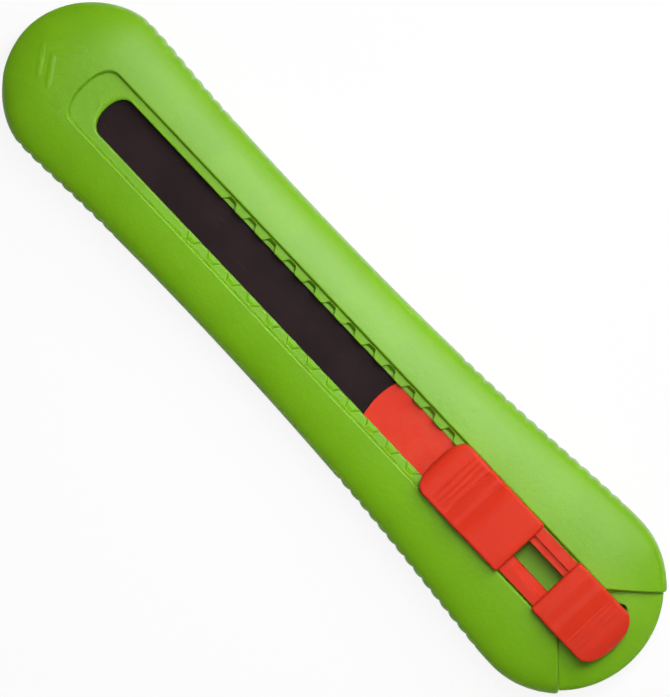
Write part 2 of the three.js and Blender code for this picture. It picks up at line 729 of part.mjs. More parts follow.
// Half width at which an arm of the V meets the body's outline, shrunk by an inset.
function armEndY(inset) {
  const long = tailLength + capStep - inset;
  const broad = tailHalfWidth - inset;
  const slope = 1 / Math.tan(veeHalfAngle);
  const offset = veeApexX - tailX;
  const a = (slope / long) ** 2 + 1 / broad ** 2;
  const b = 2 * offset * slope / long ** 2;
  const c = (offset / long) ** 2 - 1;
  return (Math.sqrt(b * b - 4 * a * c) - b) / (2 * a);
}

// A trough that runs along inside the shells and can be drawn out between the ends of the V.
function spigotTrough() {
  const outer = armEndY(shellWall + capGap) - capGap;
  const inner = guideHalfWidth + capGap;
  const [floorZ, topZ] = [floorWall + capGap, seamZ + spigotTopRise];
  const heelZ = backHeight - spigotHeelDrop;
  const half = [
    point(0, floorZ), point(spigotFloorHalfWidth, floorZ), point(outer, heelZ), point(outer, topZ),
    point(inner, topZ), point(inner, heelZ + spigotWall / 2),
    point(spigotFloorHalfWidth - spigotWall / 2, floorZ + spigotWall), point(0, floorZ + spigotWall),
  ];
  return lengthwise(half, spigotFront, bodyLength);
}

// A symmetric section (y, z), given by its right half, drawn out along x.
function lengthwise(half, x0, x1) {
  const other = half.slice(1, -1).map((p) => point(-p.x, p.y)).reverse();
  const shape = new THREE.Shape([...half, ...other].reverse());
  const geometry = new THREE.ExtrudeGeometry(shape, { depth: x1 - x0, bevelEnabled: false });
  // The section is drawn in (y, z), so the length that it is drawn out along turns onto x.
  const turn = new THREE.Matrix4().makeBasis(
    new THREE.Vector3(0, 1, 0), new THREE.Vector3(0, 0, 1), new THREE.Vector3(1, 0, 0));
  return solid(geometry.applyMatrix4(turn).translate(x0, 0, 0));
}

// ---- Assembly --------------------------------------------------------------------------------

const materials = {
  green: { color: 0x7cb81e, roughness: 0.42, metalness: 0 },
  greenInside: { color: 0x6fa61c, roughness: 0.55, metalness: 0 },
  red: { color: 0xe43824, roughness: 0.38, metalness: 0 },
  coatedBlade: { color: 0x302224, roughness: 0.6, metalness: 0.2 },
  steel: { color: 0xb4b6b8, roughness: 0.35, metalness: 1 },
};

const knife = new THREE.Group();
knife.position.x = -bodyLength / 2;

function place(name, body, look, position = [0, 0, 0], turned = false) {
  const mesh = new THREE.Mesh(geometryOf(body), new THREE.MeshStandardMaterial(materials[look]));
  mesh.name = name;
  mesh.position.set(...position);
  if (turned) mesh.rotation.x = Math.PI;
  knife.add(mesh);
}

place('front_shell', frontShell(), 'green');
place('back_shell', backShell(), 'green');
place('guide_tray', guideTray(), 'greenInside');
place('end_cap', endCap(), 'green');

place('blade', blade(), 'coatedBlade');
place('blade_peg_front', bladePeg(pegXs[0]), 'steel');
place('blade_peg_rear', bladePeg(pegXs[1]), 'steel');

place('blade_carrier', bladeCarrier(), 'red');
place('slider_bridge', sliderBridge(), 'red');
place('rear_pad', thumbPad(), 'red');
place('lock_lever', lockLever(), 'red');
place('pivot_pin', pivotPin(), 'steel');
place('lock_spring', lockSpring(), 'steel');

const sliderScrew = screw(
  sliderScrewRadius, sliderScrewLength, sliderScrewHeadRadius, sliderScrewHeadHeight);
place('slider_screw_front', sliderScrew, 'steel', [sliderScrewXs[0], 0, bridgeTopZ], true);
place('slider_screw_rear', sliderScrew, 'steel', [sliderScrewXs[1], 0, bridgeTopZ], true);

const shellScrew = screw(
  shellScrewRadius, shellScrewLength, shellScrewHeadRadius, shellScrewHeadHeight);
for (const { end, x, y } of screwPlaces) {
  place(`shell_screw_${end}_left`, shellScrew, 'steel', [x, -y, screwHeadSeat]);
  place(`shell_screw_${end}_right`, shellScrew, 'steel', [x, y, screwHeadSeat]);
}

export default knife;
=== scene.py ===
"""Utility knife with a sliding one-piece blade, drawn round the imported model."""
import math

import bmesh
import bpy
import numpy as np
from mathutils import Matrix, Vector


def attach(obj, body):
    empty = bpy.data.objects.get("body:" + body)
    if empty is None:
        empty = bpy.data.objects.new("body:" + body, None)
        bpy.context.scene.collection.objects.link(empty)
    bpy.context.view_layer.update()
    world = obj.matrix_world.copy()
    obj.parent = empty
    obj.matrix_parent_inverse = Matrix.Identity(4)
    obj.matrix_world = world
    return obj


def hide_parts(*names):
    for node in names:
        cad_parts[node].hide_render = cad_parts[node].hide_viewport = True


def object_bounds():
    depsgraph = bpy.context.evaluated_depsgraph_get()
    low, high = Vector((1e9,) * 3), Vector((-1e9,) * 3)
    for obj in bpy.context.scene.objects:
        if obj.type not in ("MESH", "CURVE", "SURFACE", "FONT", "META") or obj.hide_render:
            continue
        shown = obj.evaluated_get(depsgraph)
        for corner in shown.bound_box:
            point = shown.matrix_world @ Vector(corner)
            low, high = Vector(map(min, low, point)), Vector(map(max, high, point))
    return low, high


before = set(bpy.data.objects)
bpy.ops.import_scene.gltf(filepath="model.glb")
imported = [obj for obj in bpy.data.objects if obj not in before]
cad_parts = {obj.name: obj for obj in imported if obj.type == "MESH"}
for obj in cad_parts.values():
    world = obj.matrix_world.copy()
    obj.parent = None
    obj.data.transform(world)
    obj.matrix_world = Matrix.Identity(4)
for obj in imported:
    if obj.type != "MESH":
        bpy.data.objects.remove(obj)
cad_low, cad_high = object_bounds()

# ---- Sizes of the knife, in millimetres ----
# x runs from the nose tip to the rear, y across, z up from the flat back.

MM = 0.001
BODY_LENGTH = (cad_high.x - cad_low.x) / MM
NOSE_LENGTH, NOSE_HALF, NOSE_FULLNESS = 15.2, 16.25, 1.9
WAIST_X, WAIST_HALF = 59.0, 14.9
TAIL_HALF = cad_high.y / MM
TAIL_LENGTH, SHELL_TAIL, CAP_STEP, CAP_DROP, CAP_GAP = 17.2, 17.8, 0.55, 0.8, 0.05
CAP_SINK, CAP_EDGE_ROUND = 2.2, 0.06
TAIL_X = BODY_LENGTH - TAIL_LENGTH
FLANK_EASE = (0.18, 0.66, 0.62, 0.17)
SIDE_LOW_Z, SEAM_Z, CROWN_HEIGHT = 5.5, 9.7, 4.3
BACK_HEIGHT = 6.1
FRONT_ROUNDNESS, BACK_ROUNDNESS = 2.4, 3.0
SHELL_WALL, FLOOR_Z = 1.8, 2.0

RECESS_FRONT, RECESS_HALF, RECESS_END, RECESS_FULLNESS = 14.85, 5.95, 3.35, 2.25
SLOT_FRONT, SLOT_HALF, SLOT_END, SLOT_FULLNESS = 20.7, 4.2, 2.75, 2.1
RECESS_Z, NOTCH_Z, SLOT_UNDER_Z = 12.9, 11.75, 11.6
NOTCH_FIRST, NOTCH_PITCH, NOTCH_COUNT = 48.8, 5.27, 18
NOTCH_REACH, NOTCH_BASE, NOTCH_TIP, NOTCH_SOFTNESS = 1.35, 3.1, 1.75, 0.16
VEE_APEX, VEE_ANGLE = BODY_LENGTH - 19.3, math.radians(43)
VEE_SLOPE = 1 / math.tan(VEE_ANGLE)

TONGUE_CHANNEL, BLADE_CHANNEL, GUIDE_HALF = 6.8, 9.2, 10.2
GUIDE_Z, RAIL_Z = 10.95, 9.85
MOUTH_HALF, MOUTH_TOP_Z, LIP_FADE = 9.3, 10.95, 3.0

GRIP_PITCH, GRIP_DEPTH, GRIP_REACH = 2.59, 0.3, 0.9
GRIP_ZONES = ((11.97, 11.0), (96.7, 17.0))  # start, number of pitches
GRIP_FADE_IN, GRIP_FADE_OUT, GRIP_SHARPNESS = 1.1, 2.2, 1.15

BLADE_TIP, BLADE_REAR, BLADE_HALF = 6.0, 124.0, 9.0
BLADE_LOW_Z, BLADE_TOP_Z, BLADE_CORNER = 10.1, 10.7, 1.2
GROUND_END, GRIND_WIDTH, TOOTH_PITCH, TOOTH_DEPTH = 104, 1.5, 1.2, 0.11
PEG_XS, PEG_HOLE = (112.6, 120.6), 1.3

PAD_HALF, PAD_CORNER, PAD_EDGE, GROOVE_HALF = 6.15, 0.5, 0.4, 0.3
LEVER_Z, THUMB_PAD_Z = 14.15, 14.05
LEVER_START, LEVER_END, PIVOT_X, PIVOT_Z = 108.6, 130.8, 120.0, 14.8
PRESS_ANGLE = math.radians(5.5)
THUMB_START, THUMB_END = 140.0, 155.7
LUG_X, LUG_LOW_Z, LEVER_ROOM_Z = 112.04, 12.3, LEVER_Z + 0.9


def to_world(points):
    """Points in millimetres from the nose tip, as metres in the frame."""
    out = np.asarray(points, float).reshape(-1, 3) * MM
    out[:, 0] += cad_low.x
    return out


# ---- Form of the body ----


def bezier(p0, p1, p2, p3):
    t = np.linspace(0, 1, 300)[:, None]
    p0, p1, p2, p3 = (np.array(p, float) for p in (p0, p1, p2, p3))
    return ((1 - t) ** 3 * p0 + 3 * (1 - t) ** 2 * t * p1 + 3 * (1 - t) * t * t * p2 + t**3 * p3)


REACH, RUN = WAIST_X - NOSE_LENGTH, TAIL_X - WAIST_X
FLANK = np.concatenate([
    bezier((NOSE_LENGTH, NOSE_HALF), (NOSE_LENGTH + FLANK_EASE[0] * REACH, NOSE_HALF),
           (WAIST_X - FLANK_EASE[1] * REACH, WAIST_HALF), (WAIST_X, WAIST_HALF)),
    bezier((WAIST_X, WAIST_HALF), (WAIST_X + FLANK_EASE[2] * RUN, WAIST_HALF),
           (TAIL_X - FLANK_EASE[3] * RUN, TAIL_HALF), (TAIL_X, TAIL_HALF))[1:],
])


def flank_half(x):
    return np.interp(x, FLANK[:, 0], FLANK[:, 1])


def spread(x, y, inset=0.0):
    """How far out a point lies: 0 on the spine, 1 on the body's outline shrunk by the inset."""
    x, y = np.asarray(x, float), np.abs(np.asarray(y, float))
    ahead = np.maximum(NOSE_LENGTH - x, 0) / (NOSE_LENGTH - inset)
    nose = (ahead**NOSE_FULLNESS + (y / (NOSE_HALF - inset)) ** NOSE_FULLNESS) ** (1 / NOSE_FULLNESS)
    behind = np.maximum(x - TAIL_X, 0) / (SHELL_TAIL - inset)
    tail = np.hypot(behind, y / (TAIL_HALF - inset))
    flank = y / (flank_half(x) - inset)
    return np.where(x < NOSE_LENGTH, nose, np.where(x > TAIL_X, tail, flank))


def crown(x, y, inset=0.0, height=CROWN_HEIGHT):
    return SEAM_Z + height * rounded(np.clip(spread(x, y, inset), 0, 1), FRONT_ROUNDNESS)


def superellipse(front, depth, half, fullness, count=200):
    a = np.linspace(0, math.pi / 2, count)
    return np.stack([
        front + depth * (1 - np.cos(a) ** (2 / fullness)), half * np.sin(a) ** (2 / fullness)], 1)


def rounded(s, roundness):
    """Height of a rounded form, 1 on the spine and 0 on the outline, where the spread is s."""
    return (1 - s**roundness) ** (1 / roundness)


class Curve:
    """Half of a U-shaped line, from the middle plane at the front to its rear end."""

    def __init__(self, points):
        self.points = np.asarray(points, float)
        steps = np.hypot(*np.diff(self.points, axis=0).T)
        self.points = self.points[np.concatenate([[True], steps > 1e-9])]
        steps = np.hypot(*np.diff(self.points, axis=0).T)
        self.along = np.concatenate([[0], np.cumsum(steps)])
        self.length = self.along[-1]

    def at(self, a):
        return np.stack([np.interp(a, self.along, self.points[:, k]) for k in (0, 1)], 1)

    def normal(self, a):
        step = 0.02
        ahead = self.at(np.minimum(a + step, self.length))
        back = self.at(np.maximum(a - step, 0))
        t = ahead - back
        t /= np.hypot(*t.T)[:, None]
        n = np.stack([-t[:, 1], t[:, 0]], 1)
        n[a < 1e-6] = (-1, 0)
        return n

    def along_at_x(self, x):
        """Length along the line where it passes x, on its rising part."""
        return np.interp(x, self.points[:, 0], self.along)


def vee_x(y, gap=0.0):
    return VEE_APEX + gap / math.sin(VEE_ANGLE) + np.abs(y) * VEE_SLOPE


def to_tail(start_x, dx, dy, long, broad):
    """Steps of (dx, dy) from the middle plane out to the tail's ellipse."""
    offset = start_x - TAIL_X
    a = (dx / long) ** 2 + (dy / broad) ** 2
    b = 2 * offset * dx / long**2
    c = (offset / long) ** 2 - 1
    return (np.sqrt(b * b - 4 * a * c) - b) / (2 * a)


def outline():
    """The body's outline from the nose tip to the end of the V's arm."""
    nose = superellipse(0, NOSE_LENGTH, NOSE_HALF, NOSE_FULLNESS, 300)
    last = math.acos(to_tail(VEE_APEX, VEE_SLOPE, 1, SHELL_TAIL, TAIL_HALF) / TAIL_HALF)
    a = np.linspace(0, last, 200)
    tail = np.stack([TAIL_X + SHELL_TAIL * np.sin(a), TAIL_HALF * np.cos(a)], 1)
    return Curve(np.concatenate([nose, FLANK[1:], tail[1:]]))


def round_ended(front, depth, half, fullness):
    """A line with a round front end and straight sides that run to the V."""
    return Curve(np.concatenate([superellipse(front, depth, half, fullness), [(vee_x(half), half)]]))


# Columns fan out round the nose up to FAN_END and lean back to the V from SHEAR_START.
FAN_END, FAN_BLEND, SHEAR_START = 26.0, 6, 112.0
SLOT_REAR = float(vee_x(SLOT_HALF))
OUTER = outline()
RECESS = round_ended(RECESS_FRONT, RECESS_END, RECESS_HALF, RECESS_FULLNESS)
SLOT = round_ended(SLOT_FRONT, SLOT_END, SLOT_HALF, SLOT_FULLNESS)


def spaced(curve, q):
    """Lengths along a line for columns q."""
    start = curve.along_at_x(FAN_END)
    f = np.clip(q / FAN_END, 0, 1)
    if start > FAN_END:
        fan = start - (FAN_END - q) - (start - FAN_END) * (1 - f) ** 2
    else:
        fan = start * f ** (FAN_END / start)
    straight = curve.along_at_x(q)
    shear_length, shear_at = SLOT_REAR - SHEAR_START, curve.along_at_x(SHEAR_START)
    t = np.clip((q - SHEAR_START) / shear_length, 0, None)
    lean = shear_at + shear_length * t
    lean = lean + (curve.length - shear_at - shear_length) * t * t
    return np.where(q < FAN_END, fan, np.where(q > SHEAR_START, lean, straight))


def grip_depth(x):
    """Depth of the finger scallops at a place along the outline."""
    depth = np.zeros_like(x)
    for start, pitches in GRIP_ZONES:
        p = (x - start) / GRIP_PITCH
        fade = np.clip(np.minimum(p / GRIP_FADE_IN, (pitches - p) / GRIP_FADE_OUT), 0, 1)
        lobe = (1 - np.abs(np.sin(math.pi * p))) ** GRIP_SHARPNESS
        depth = depth + np.where((p > 0) & (p < pitches), GRIP_DEPTH * lobe * fade, 0)
    return depth


def notch_reach(x):
    """How far the racks' pockets reach out from the slot's edge at x, with rounded corners."""
    reach = np.zeros_like(x)
    shifts = np.linspace(-NOTCH_SOFTNESS, NOTCH_SOFTNESS, 5)
    for shift in shifts:
        p = (x + shift - NOTCH_FIRST) / NOTCH_PITCH
        i = np.clip(np.round(p), 0, NOTCH_COUNT - 1)
        away = np.abs(p - i) * NOTCH_PITCH
        reach += np.clip((NOTCH_BASE / 2 - away) / ((NOTCH_BASE - NOTCH_TIP) / 2), 0, 1) / len(shifts)
    return NOTCH_REACH * reach


# Columns round the middle of each pocket, round each scallop (in pitches) and before the V.
POCKET_COLUMNS = (-1.75, -1.5, -1.32, -1.1, -0.88, -0.68, -0.5, 0, 0.5, 0.68, 0.88, 1.1, 1.32, 1.5, 1.75)
SCALLOP_COLUMNS = (-0.24, -0.11, -0.04, 0, 0.04, 0.11, 0.24, 0.5)
END_COLUMNS = (0.7, 0.52, 0.38, 0.26, 0.17, 0.1, 0.05, 0)
FAN_COLUMNS, PLAIN_STEP, LEAST_STEP, MOUTH_CLEAR = 44, 1.3, 0.045, 0.1


def column_places():
    """Columns of the shells, close together where scallops, pockets and the mouth need them."""
    fan = FAN_END * np.linspace(0, 1, FAN_COLUMNS)
    plain = np.arange(FAN_END, SLOT_REAR - 0.5, PLAIN_STEP)
    pockets = [NOTCH_FIRST + i * NOTCH_PITCH + d for i in range(NOTCH_COUNT) for d in POCKET_COLUMNS]
    table_q = np.concatenate([np.linspace(0, FAN_END, 400), np.linspace(FAN_END, SLOT_REAR, 2000)[1:]])
    table_x, table_y = OUTER.at(spaced(OUTER, table_q)).T
    scallops = [
        start + (i + d) * GRIP_PITCH
        for start, pitches in GRIP_ZONES for i in range(int(pitches) + 1) for d in SCALLOP_COLUMNS]
    scallops = np.interp(scallops, table_x, table_q)
    nose = slice(0, 300)
    mouth = np.interp([MOUTH_HALF - 0.02, MOUTH_HALF + 0.05], table_y[nose], table_q[nose])
    ends = SLOT_REAR - np.array(END_COLUMNS)
    q = np.sort(np.concatenate([fan, plain, pockets, scallops, ends]))
    keep = [0.0]
    for value in q:
        if value - keep[-1] > LEAST_STEP and np.min(np.abs(mouth - value)) > MOUTH_CLEAR:
            keep.append(float(value))
    keep = [v for v in keep if v < SLOT_REAR - 0.02] + list(mouth) + [SLOT_REAR]
    return np.array(sorted(keep))


Q = column_places()


def both_sides(rows):
    """Rows of the right half as one sweep from the left end, round the nose, to the right end."""
    half = np.stack(rows)
    other = half[:, :0:-1] * (1, -1, 1)
    return np.concatenate([other, half], 1)


def grid_faces(rows, columns, first=0):
    r, c = np.arange(rows - 1), np.arange(columns - 1)
    a = first + r[:, None] * columns + c[None, :]
    quads = np.stack([a, a + 1, a + columns + 1, a + columns], -1)
    return quads.reshape(-1, 4).tolist()


def swept(rows):
    """Points and faces of a closed sweep: each column is a closed section."""
    grid = np.concatenate([rows, rows[:1]])
    count, columns = grid.shape[:2]
    faces = grid_faces(count, columns)
    faces.append([r * columns for r in range(count - 1)])
    faces.append([r * columns + columns - 1 for r in range(count - 1)][::-1])
    return grid.reshape(-1, 3), faces


def band_faces(count, width):
    """Faces between closed rings of points, from each ring to the next."""
    faces = []
    for r in range(count - 1):
        for c in range(width):
            d = (c + 1) % width
            faces.append((r * width + c, r * width + d, (r + 1) * width + d, (r + 1) * width + c))
    return faces


def lofted(grid):
    """Points and faces of a stack of sections, closed over both ends."""
    count, width = grid.shape[:2]
    ends = [list(range(width)), [(count - 1) * width + c for c in range(width)][::-1]]
    return grid.reshape(-1, 3), band_faces(count, width) + ends


def soft_step(t):
    """0 to 1 with soft ends, for t held between 0 and 1."""
    t = np.clip(t, 0, 1)
    return t * t * (3 - 2 * t)


def eased_edge(e, radius):
    """How far a rounded edge has dropped at a distance from the face that it leads to."""
    e = np.clip(radius - e, 0, radius)
    return radius - np.sqrt(radius**2 - e**2)


def between(a, b, share):
    return a + (b - a) * (share if np.isscalar(share) else share[:, None])


def raised(plan, z):
    """Plan points with their heights."""
    return np.concatenate([plan, np.broadcast_to(z, len(plan)).reshape(-1, 1)], 1)


# ---- Mesh helpers ----

MERGE_WITHIN, WELD_WITHIN, ON_PLANE = 0.003, 0.002, 0.001


def mesh_object(name, points, faces, smooth_angle=35):
    mesh = bpy.data.meshes.new(name)
    mesh.from_pydata(to_world(points).tolist(), [], faces)
    bm = bmesh.new()
    bm.from_mesh(mesh)
    bmesh.ops.remove_doubles(bm, verts=bm.verts, dist=MERGE_WITHIN * MM)
    bmesh.ops.dissolve_degenerate(bm, dist=WELD_WITHIN * MM, edges=bm.edges)
    # Where two mirrored halves meet on the middle plane, the walls between them go.
    between_halves = [f for f in bm.faces if all(abs(v.co.y) < ON_PLANE * MM for v in f.verts)]
    bmesh.ops.delete(bm, geom=between_halves, context="FACES")
    bmesh.ops.recalc_face_normals(bm, faces=bm.faces)
    bm.to_mesh(mesh)
    bm.free()
    piece = bpy.data.objects.new(name, mesh)
    bpy.context.scene.collection.objects.link(piece)
    shade(piece, smooth_angle)
    return piece


def shade(piece, smooth_angle):
    piece.data.shade_smooth()
    piece.data.set_sharp_from_angle(angle=math.radians(smooth_angle))


def settle(piece):
    """Applies the piece's modifiers to its mesh."""
    bpy.context.view_layer.update()
    graph = bpy.context.evaluated_depsgraph_get()
    mesh = bpy.data.meshes.new_from_object(piece.evaluated_get(graph))
    piece.modifiers.clear()
    piece.data = mesh


def cut_away(piece, tools):
    """Takes the tools' shapes out of a piece, then deletes the tools."""
    for tool in tools:
        cut = piece.modifiers.new("cut", "BOOLEAN")
        cut.operation = "DIFFERENCE"
        cut.solver = "EXACT"
        cut.object = tool
    settle(piece)
    for tool in tools:
        bpy.data.objects.remove(tool)


def block(x0, x1, y0, y1, z0, z1):
    points = [(x, y, z) for x in (x0, x1) for y in (y0, y1) for z in (z0, z1)]
    faces = [(0, 1, 3, 2), (4, 6, 7, 5), (0, 4, 5, 1), (2, 3, 7, 6), (0, 2, 6, 4), (1, 5, 7, 3)]
    return mesh_object("tool", points, faces)


def ring_tool(profile, segments, place):
    """A round tool from a profile of (radius, distance along the axis), closed on its axis."""
    a = np.linspace(0, 2 * math.pi, segments + 1)[:-1]
    rings = [np.stack(place(r * np.cos(a), r * np.sin(a), np.full(segments, t)), 1) for r, t in profile]
    return mesh_object("tool", np.concatenate(rings), band_faces(len(profile), segments))


def turned(x, y, profile, segments=48):
    """An upright round tool."""
    return ring_tool(profile, segments, lambda u, v, z: (x + u, y + v, z))


def cross_rod(x, z, radius, half):
    """A round tool across the knife."""
    profile = ((0, -half), (radius, -half), (radius, half), (0, half))
    return ring_tool(profile, 24, lambda u, v, y: (x + u, y, z + v))


def soften(piece, width, sharper_than):
    """Rounds the edges where faces meet at more than an angle."""
    bevel = piece.modifiers.new("soften", "BEVEL")
    bevel.width = width * MM
    bevel.segments = 2
    bevel.limit_method = "ANGLE"
    bevel.angle_limit = math.radians(sharper_than)
    return bevel


def softened(piece, width, sharper_than=30):
    soften(piece, width, sharper_than)
    settle(piece)
    return piece


def bar(name, half, x0, x1, smooth_angle=35):
    """A straight piece along the knife, from the right half of its section."""
    section = half + [(-y, z) for y, z in half[::-1]]
    rows = np.array([[(x, y, z) for y, z in section] for x in (x0, x1)])
    return mesh_object(name, *lofted(rows), smooth_angle)


def finished(piece, material):
    piece.data.materials.clear()
    piece.data.materials.append(material)


def placed(piece, material, body, slot, *nodes):
    """Gives a new piece its finish and its body, and hides the nodes that it replaces. The slot is not
    used.
    """
    finished(piece, material)
    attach(piece, body)
    if nodes:
        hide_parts(*nodes)


# ---- Finishes ----


def feed(tree, made, inputs):
    """Sets a node's inputs, by name or number, to values or sockets."""
    for key, value in inputs.items():
        socket = made.inputs[key]
        if isinstance(value, bpy.types.NodeSocket):
            tree.links.new(value, socket)
        else:
            socket.default_value = value


def node(tree, kind, inputs=None, **settings):
    made = tree.nodes.new(kind)
    for key, value in settings.items():
        setattr(made, key, value)
    feed(tree, made, inputs or {})
    return made


def maths(tree, operation, a, b=0.0, clamp=False):
    return node(tree, "ShaderNodeMath", {0: a, 1: b}, operation=operation, use_clamp=clamp).outputs[0]


def times(tree, a, b):
    return maths(tree, "MULTIPLY", a, b)


def ramp(tree, value, low, high, start=0.0, end=1.0):
    """Value mapped from low..high to start..end with soft ends."""
    return node(tree, "ShaderNodeMapRange", {
        "Value": value, "From Min": low, "From Max": high, "To Min": start, "To Max": end},
        interpolation_type="SMOOTHSTEP").outputs["Result"]


def mix_colour(tree, factor, a, b):
    return node(tree, "ShaderNodeMix", {0: factor, 6: a, 7: b}, data_type="RGBA").outputs[2]


def object_place(tree):
    return node(tree, "ShaderNodeTexCoord").outputs["Object"]


def noise(tree, place, size, detail=2.0, roughness=0.5):
    """Noise with features of a size in millimetres, given as a socket."""
    return node(tree, "ShaderNodeTexNoise", {
        "Vector": place, "Scale": maths(tree, "DIVIDE", 1 / MM, size), "Detail": detail,
        "Roughness": roughness}).outputs[0]


def lines_along(tree, place, given, detail, roughness, seed=0.0):
    """Noise stretched along the knife into lines, by their length and spacing in millimetres."""
    along, across = (maths(tree, "DIVIDE", 1 / MM, given[size]) for size in ("Length", "Spacing"))
    scale = node(tree, "ShaderNodeCombineXYZ", {0: along, 1: across, 2: across}).outputs[0]
    moved = node(tree, "ShaderNodeVectorMath", {0: place, 1: scale, 2: (seed, seed, seed)},
                 operation="MULTIPLY_ADD").outputs[0]
    return node(tree, "ShaderNodeTexNoise", {
        "Vector": moved, "Scale": 1.0, "Detail": detail, "Roughness": roughness}).outputs[0]


def relief(tree, height, distance, strength=0.5):
    """A normal bumped by a height, at a depth in millimetres."""
    return node(tree, "ShaderNodeBump", {
        "Strength": strength, "Distance": distance * MM, "Height": height}).outputs[0]


def group(name, **inputs):
    """An empty shader group with named number sockets, and a function that sets its outputs."""
    tree = bpy.data.node_groups.new(name, "ShaderNodeTree")
    for label, value in inputs.items():
        socket = tree.interface.new_socket(title(label), in_out="INPUT", socket_type="NodeSocketFloat")
        socket.default_value = value

    def finish(**outputs):
        for label in outputs:
            tree.interface.new_socket(title(label), in_out="OUTPUT", socket_type="NodeSocketFloat")
        end = tree.nodes.new("NodeGroupOutput")
        feed(tree, end, {title(label): value for label, value in outputs.items()})
        return tree

    return tree, tree.nodes.new("NodeGroupInput").outputs, finish


def title(label):
    """A socket's name, such as Grain Size for grain_size."""
    return label.replace("_", " ").title()


def moulded_grain():
    """Fine spark-eroded grain of a plastic mould, with the skin's light peel and slow waves."""
    tree, given, finish = group(
        "moulded_grain", grain_size=0.25, peel_size=1.2, peel_share=1.6, wave_size=14.0, wave_share=0.1)
    place = object_place(tree)
    fine = noise(tree, place, given["Grain Size"], roughness=0.6)
    slow = noise(tree, place, given["Wave Size"], roughness=0.45)
    peel = noise(tree, place, given["Peel Size"], detail=1.0)
    low_skin = maths(
        tree, "ADD", times(tree, slow, given["Wave Share"]), times(tree, peel, given["Peel Share"]))
    return finish(height=maths(tree, "ADD", fine, low_skin), grain=fine, waves=slow)


def edge_wear_and_crease_shade():
    """Lighter rubbed edges broken up by noise, and painted shade that darkens creases."""
    tree, given, finish = group("edge_wear_and_crease_shade", amount=0.5, crease_depth=0.5, patch_size=3.0)
    bend = node(tree, "ShaderNodeNewGeometry").outputs["Pointiness"]
    patches = noise(tree, object_place(tree), given["Patch Size"], detail=3.0)
    worn = times(tree, ramp(tree, bend, 0.52, 0.62), ramp(tree, patches, 0.35, 0.6))
    return finish(
        worn=times(tree, worn, given["Amount"]),
        # The second output is painted shade: darker colour in creases and hollow edges, where shade falls.
        crease=times(tree, ramp(tree, bend, 0.48, 0.4), given["Crease Depth"]))


def hairlines():
    """Fine scratches from handling, mostly along the knife."""
    tree, given, finish = group("hairlines", spacing=1.6, length=30.0, turn=0.15, share=0.3)
    place = object_place(tree)
    masks = []
    for sign, seed in ((1.0, 0.0), (-1.0, 7.3)):
        around = node(tree, "ShaderNodeVectorRotate", {
            "Vector": place, "Angle": times(tree, given["Turn"], sign)}, rotation_type="Z_AXIS").outputs[0]
        lines = lines_along(tree, around, given, 2.0, 0.7, seed)
        near = maths(tree, "ABSOLUTE", maths(tree, "SUBTRACT", lines, 0.5))
        masks.append(ramp(tree, near, 0.008, 0.0))
    both = maths(tree, "MAXIMUM", *masks)
    patches = node(tree, "ShaderNodeTexNoise", {"Vector": place, "Scale": 90.0}).outputs[0]
    shown = times(tree, both, ramp(tree, patches, 0.5, 0.65))
    return finish(mask=times(tree, shown, given["Share"]))


def brushed_lines():
    """Drawn or ground lines of bare steel."""
    tree, given, finish = group("brushed_lines", spacing=0.12, length=4.0)
    lines = lines_along(tree, object_place(tree), given, 3.0, 0.6)
    return finish(height=lines, tone=ramp(tree, lines, 0.3, 0.7))


GROUPS = {
    "grain": moulded_grain(), "wear": edge_wear_and_crease_shade(), "hairlines": hairlines(), "brushed": brushed_lines()}


def placed_group(tree, name, **values):
    made = node(tree, "ShaderNodeGroup", node_tree=GROUPS[name])
    feed(tree, made, {title(label): value for label, value in values.items()})
    return made.outputs


def new_material(name):
    material = bpy.data.materials.new(name)
    material.use_nodes = True
    return material, material.node_tree, material.node_tree.nodes["Principled BSDF"]


def moulded_plastic(name, palette, roughness, grain_size=0.25, bump=0.012, wear=0.12, speckle=0.06,
                    crease=0.85, gloss=0.3):
    """Moulded plastic: slow colour drift, fine grain, rubbed edges, light scuffs and painted shade in
    creases.
    """
    colour, deep, pale = palette
    material, tree, shader = new_material(name)
    grain = placed_group(tree, "grain", grain_size=grain_size)
    edges = placed_group(tree, "wear", amount=wear, crease_depth=crease)
    scuffs = placed_group(tree, "hairlines", share=0.25)["Mask"]
    base = mix_colour(tree, ramp(tree, grain["Waves"], 0.3, 0.7), deep, colour)
    base = mix_colour(tree, times(tree, ramp(tree, grain["Grain"], 0.42, 0.75), speckle), base, pale)
    base = mix_colour(tree, edges["Worn"], base, pale)
    # Painted shade: creases and hollow edges are darkened towards the deep tone.
    base = mix_colour(tree, edges["Crease"], base, [c * 0.4 for c in deep[:3]] + [1])
    base = mix_colour(tree, times(tree, scuffs, 0.4), base, pale)
    rough = ramp(tree, grain["Grain"], 0.3, 0.7, roughness - 0.05, roughness + 0.05)
    height = maths(tree, "SUBTRACT", grain["Height"], times(tree, scuffs, 0.8))
    feed(tree, shader, {
        "Base Color": base, "Roughness": maths(tree, "ADD", rough, times(tree, scuffs, 0.15), clamp=True),
        "Normal": relief(tree, height, bump), "Specular IOR Level": gloss})
    return material


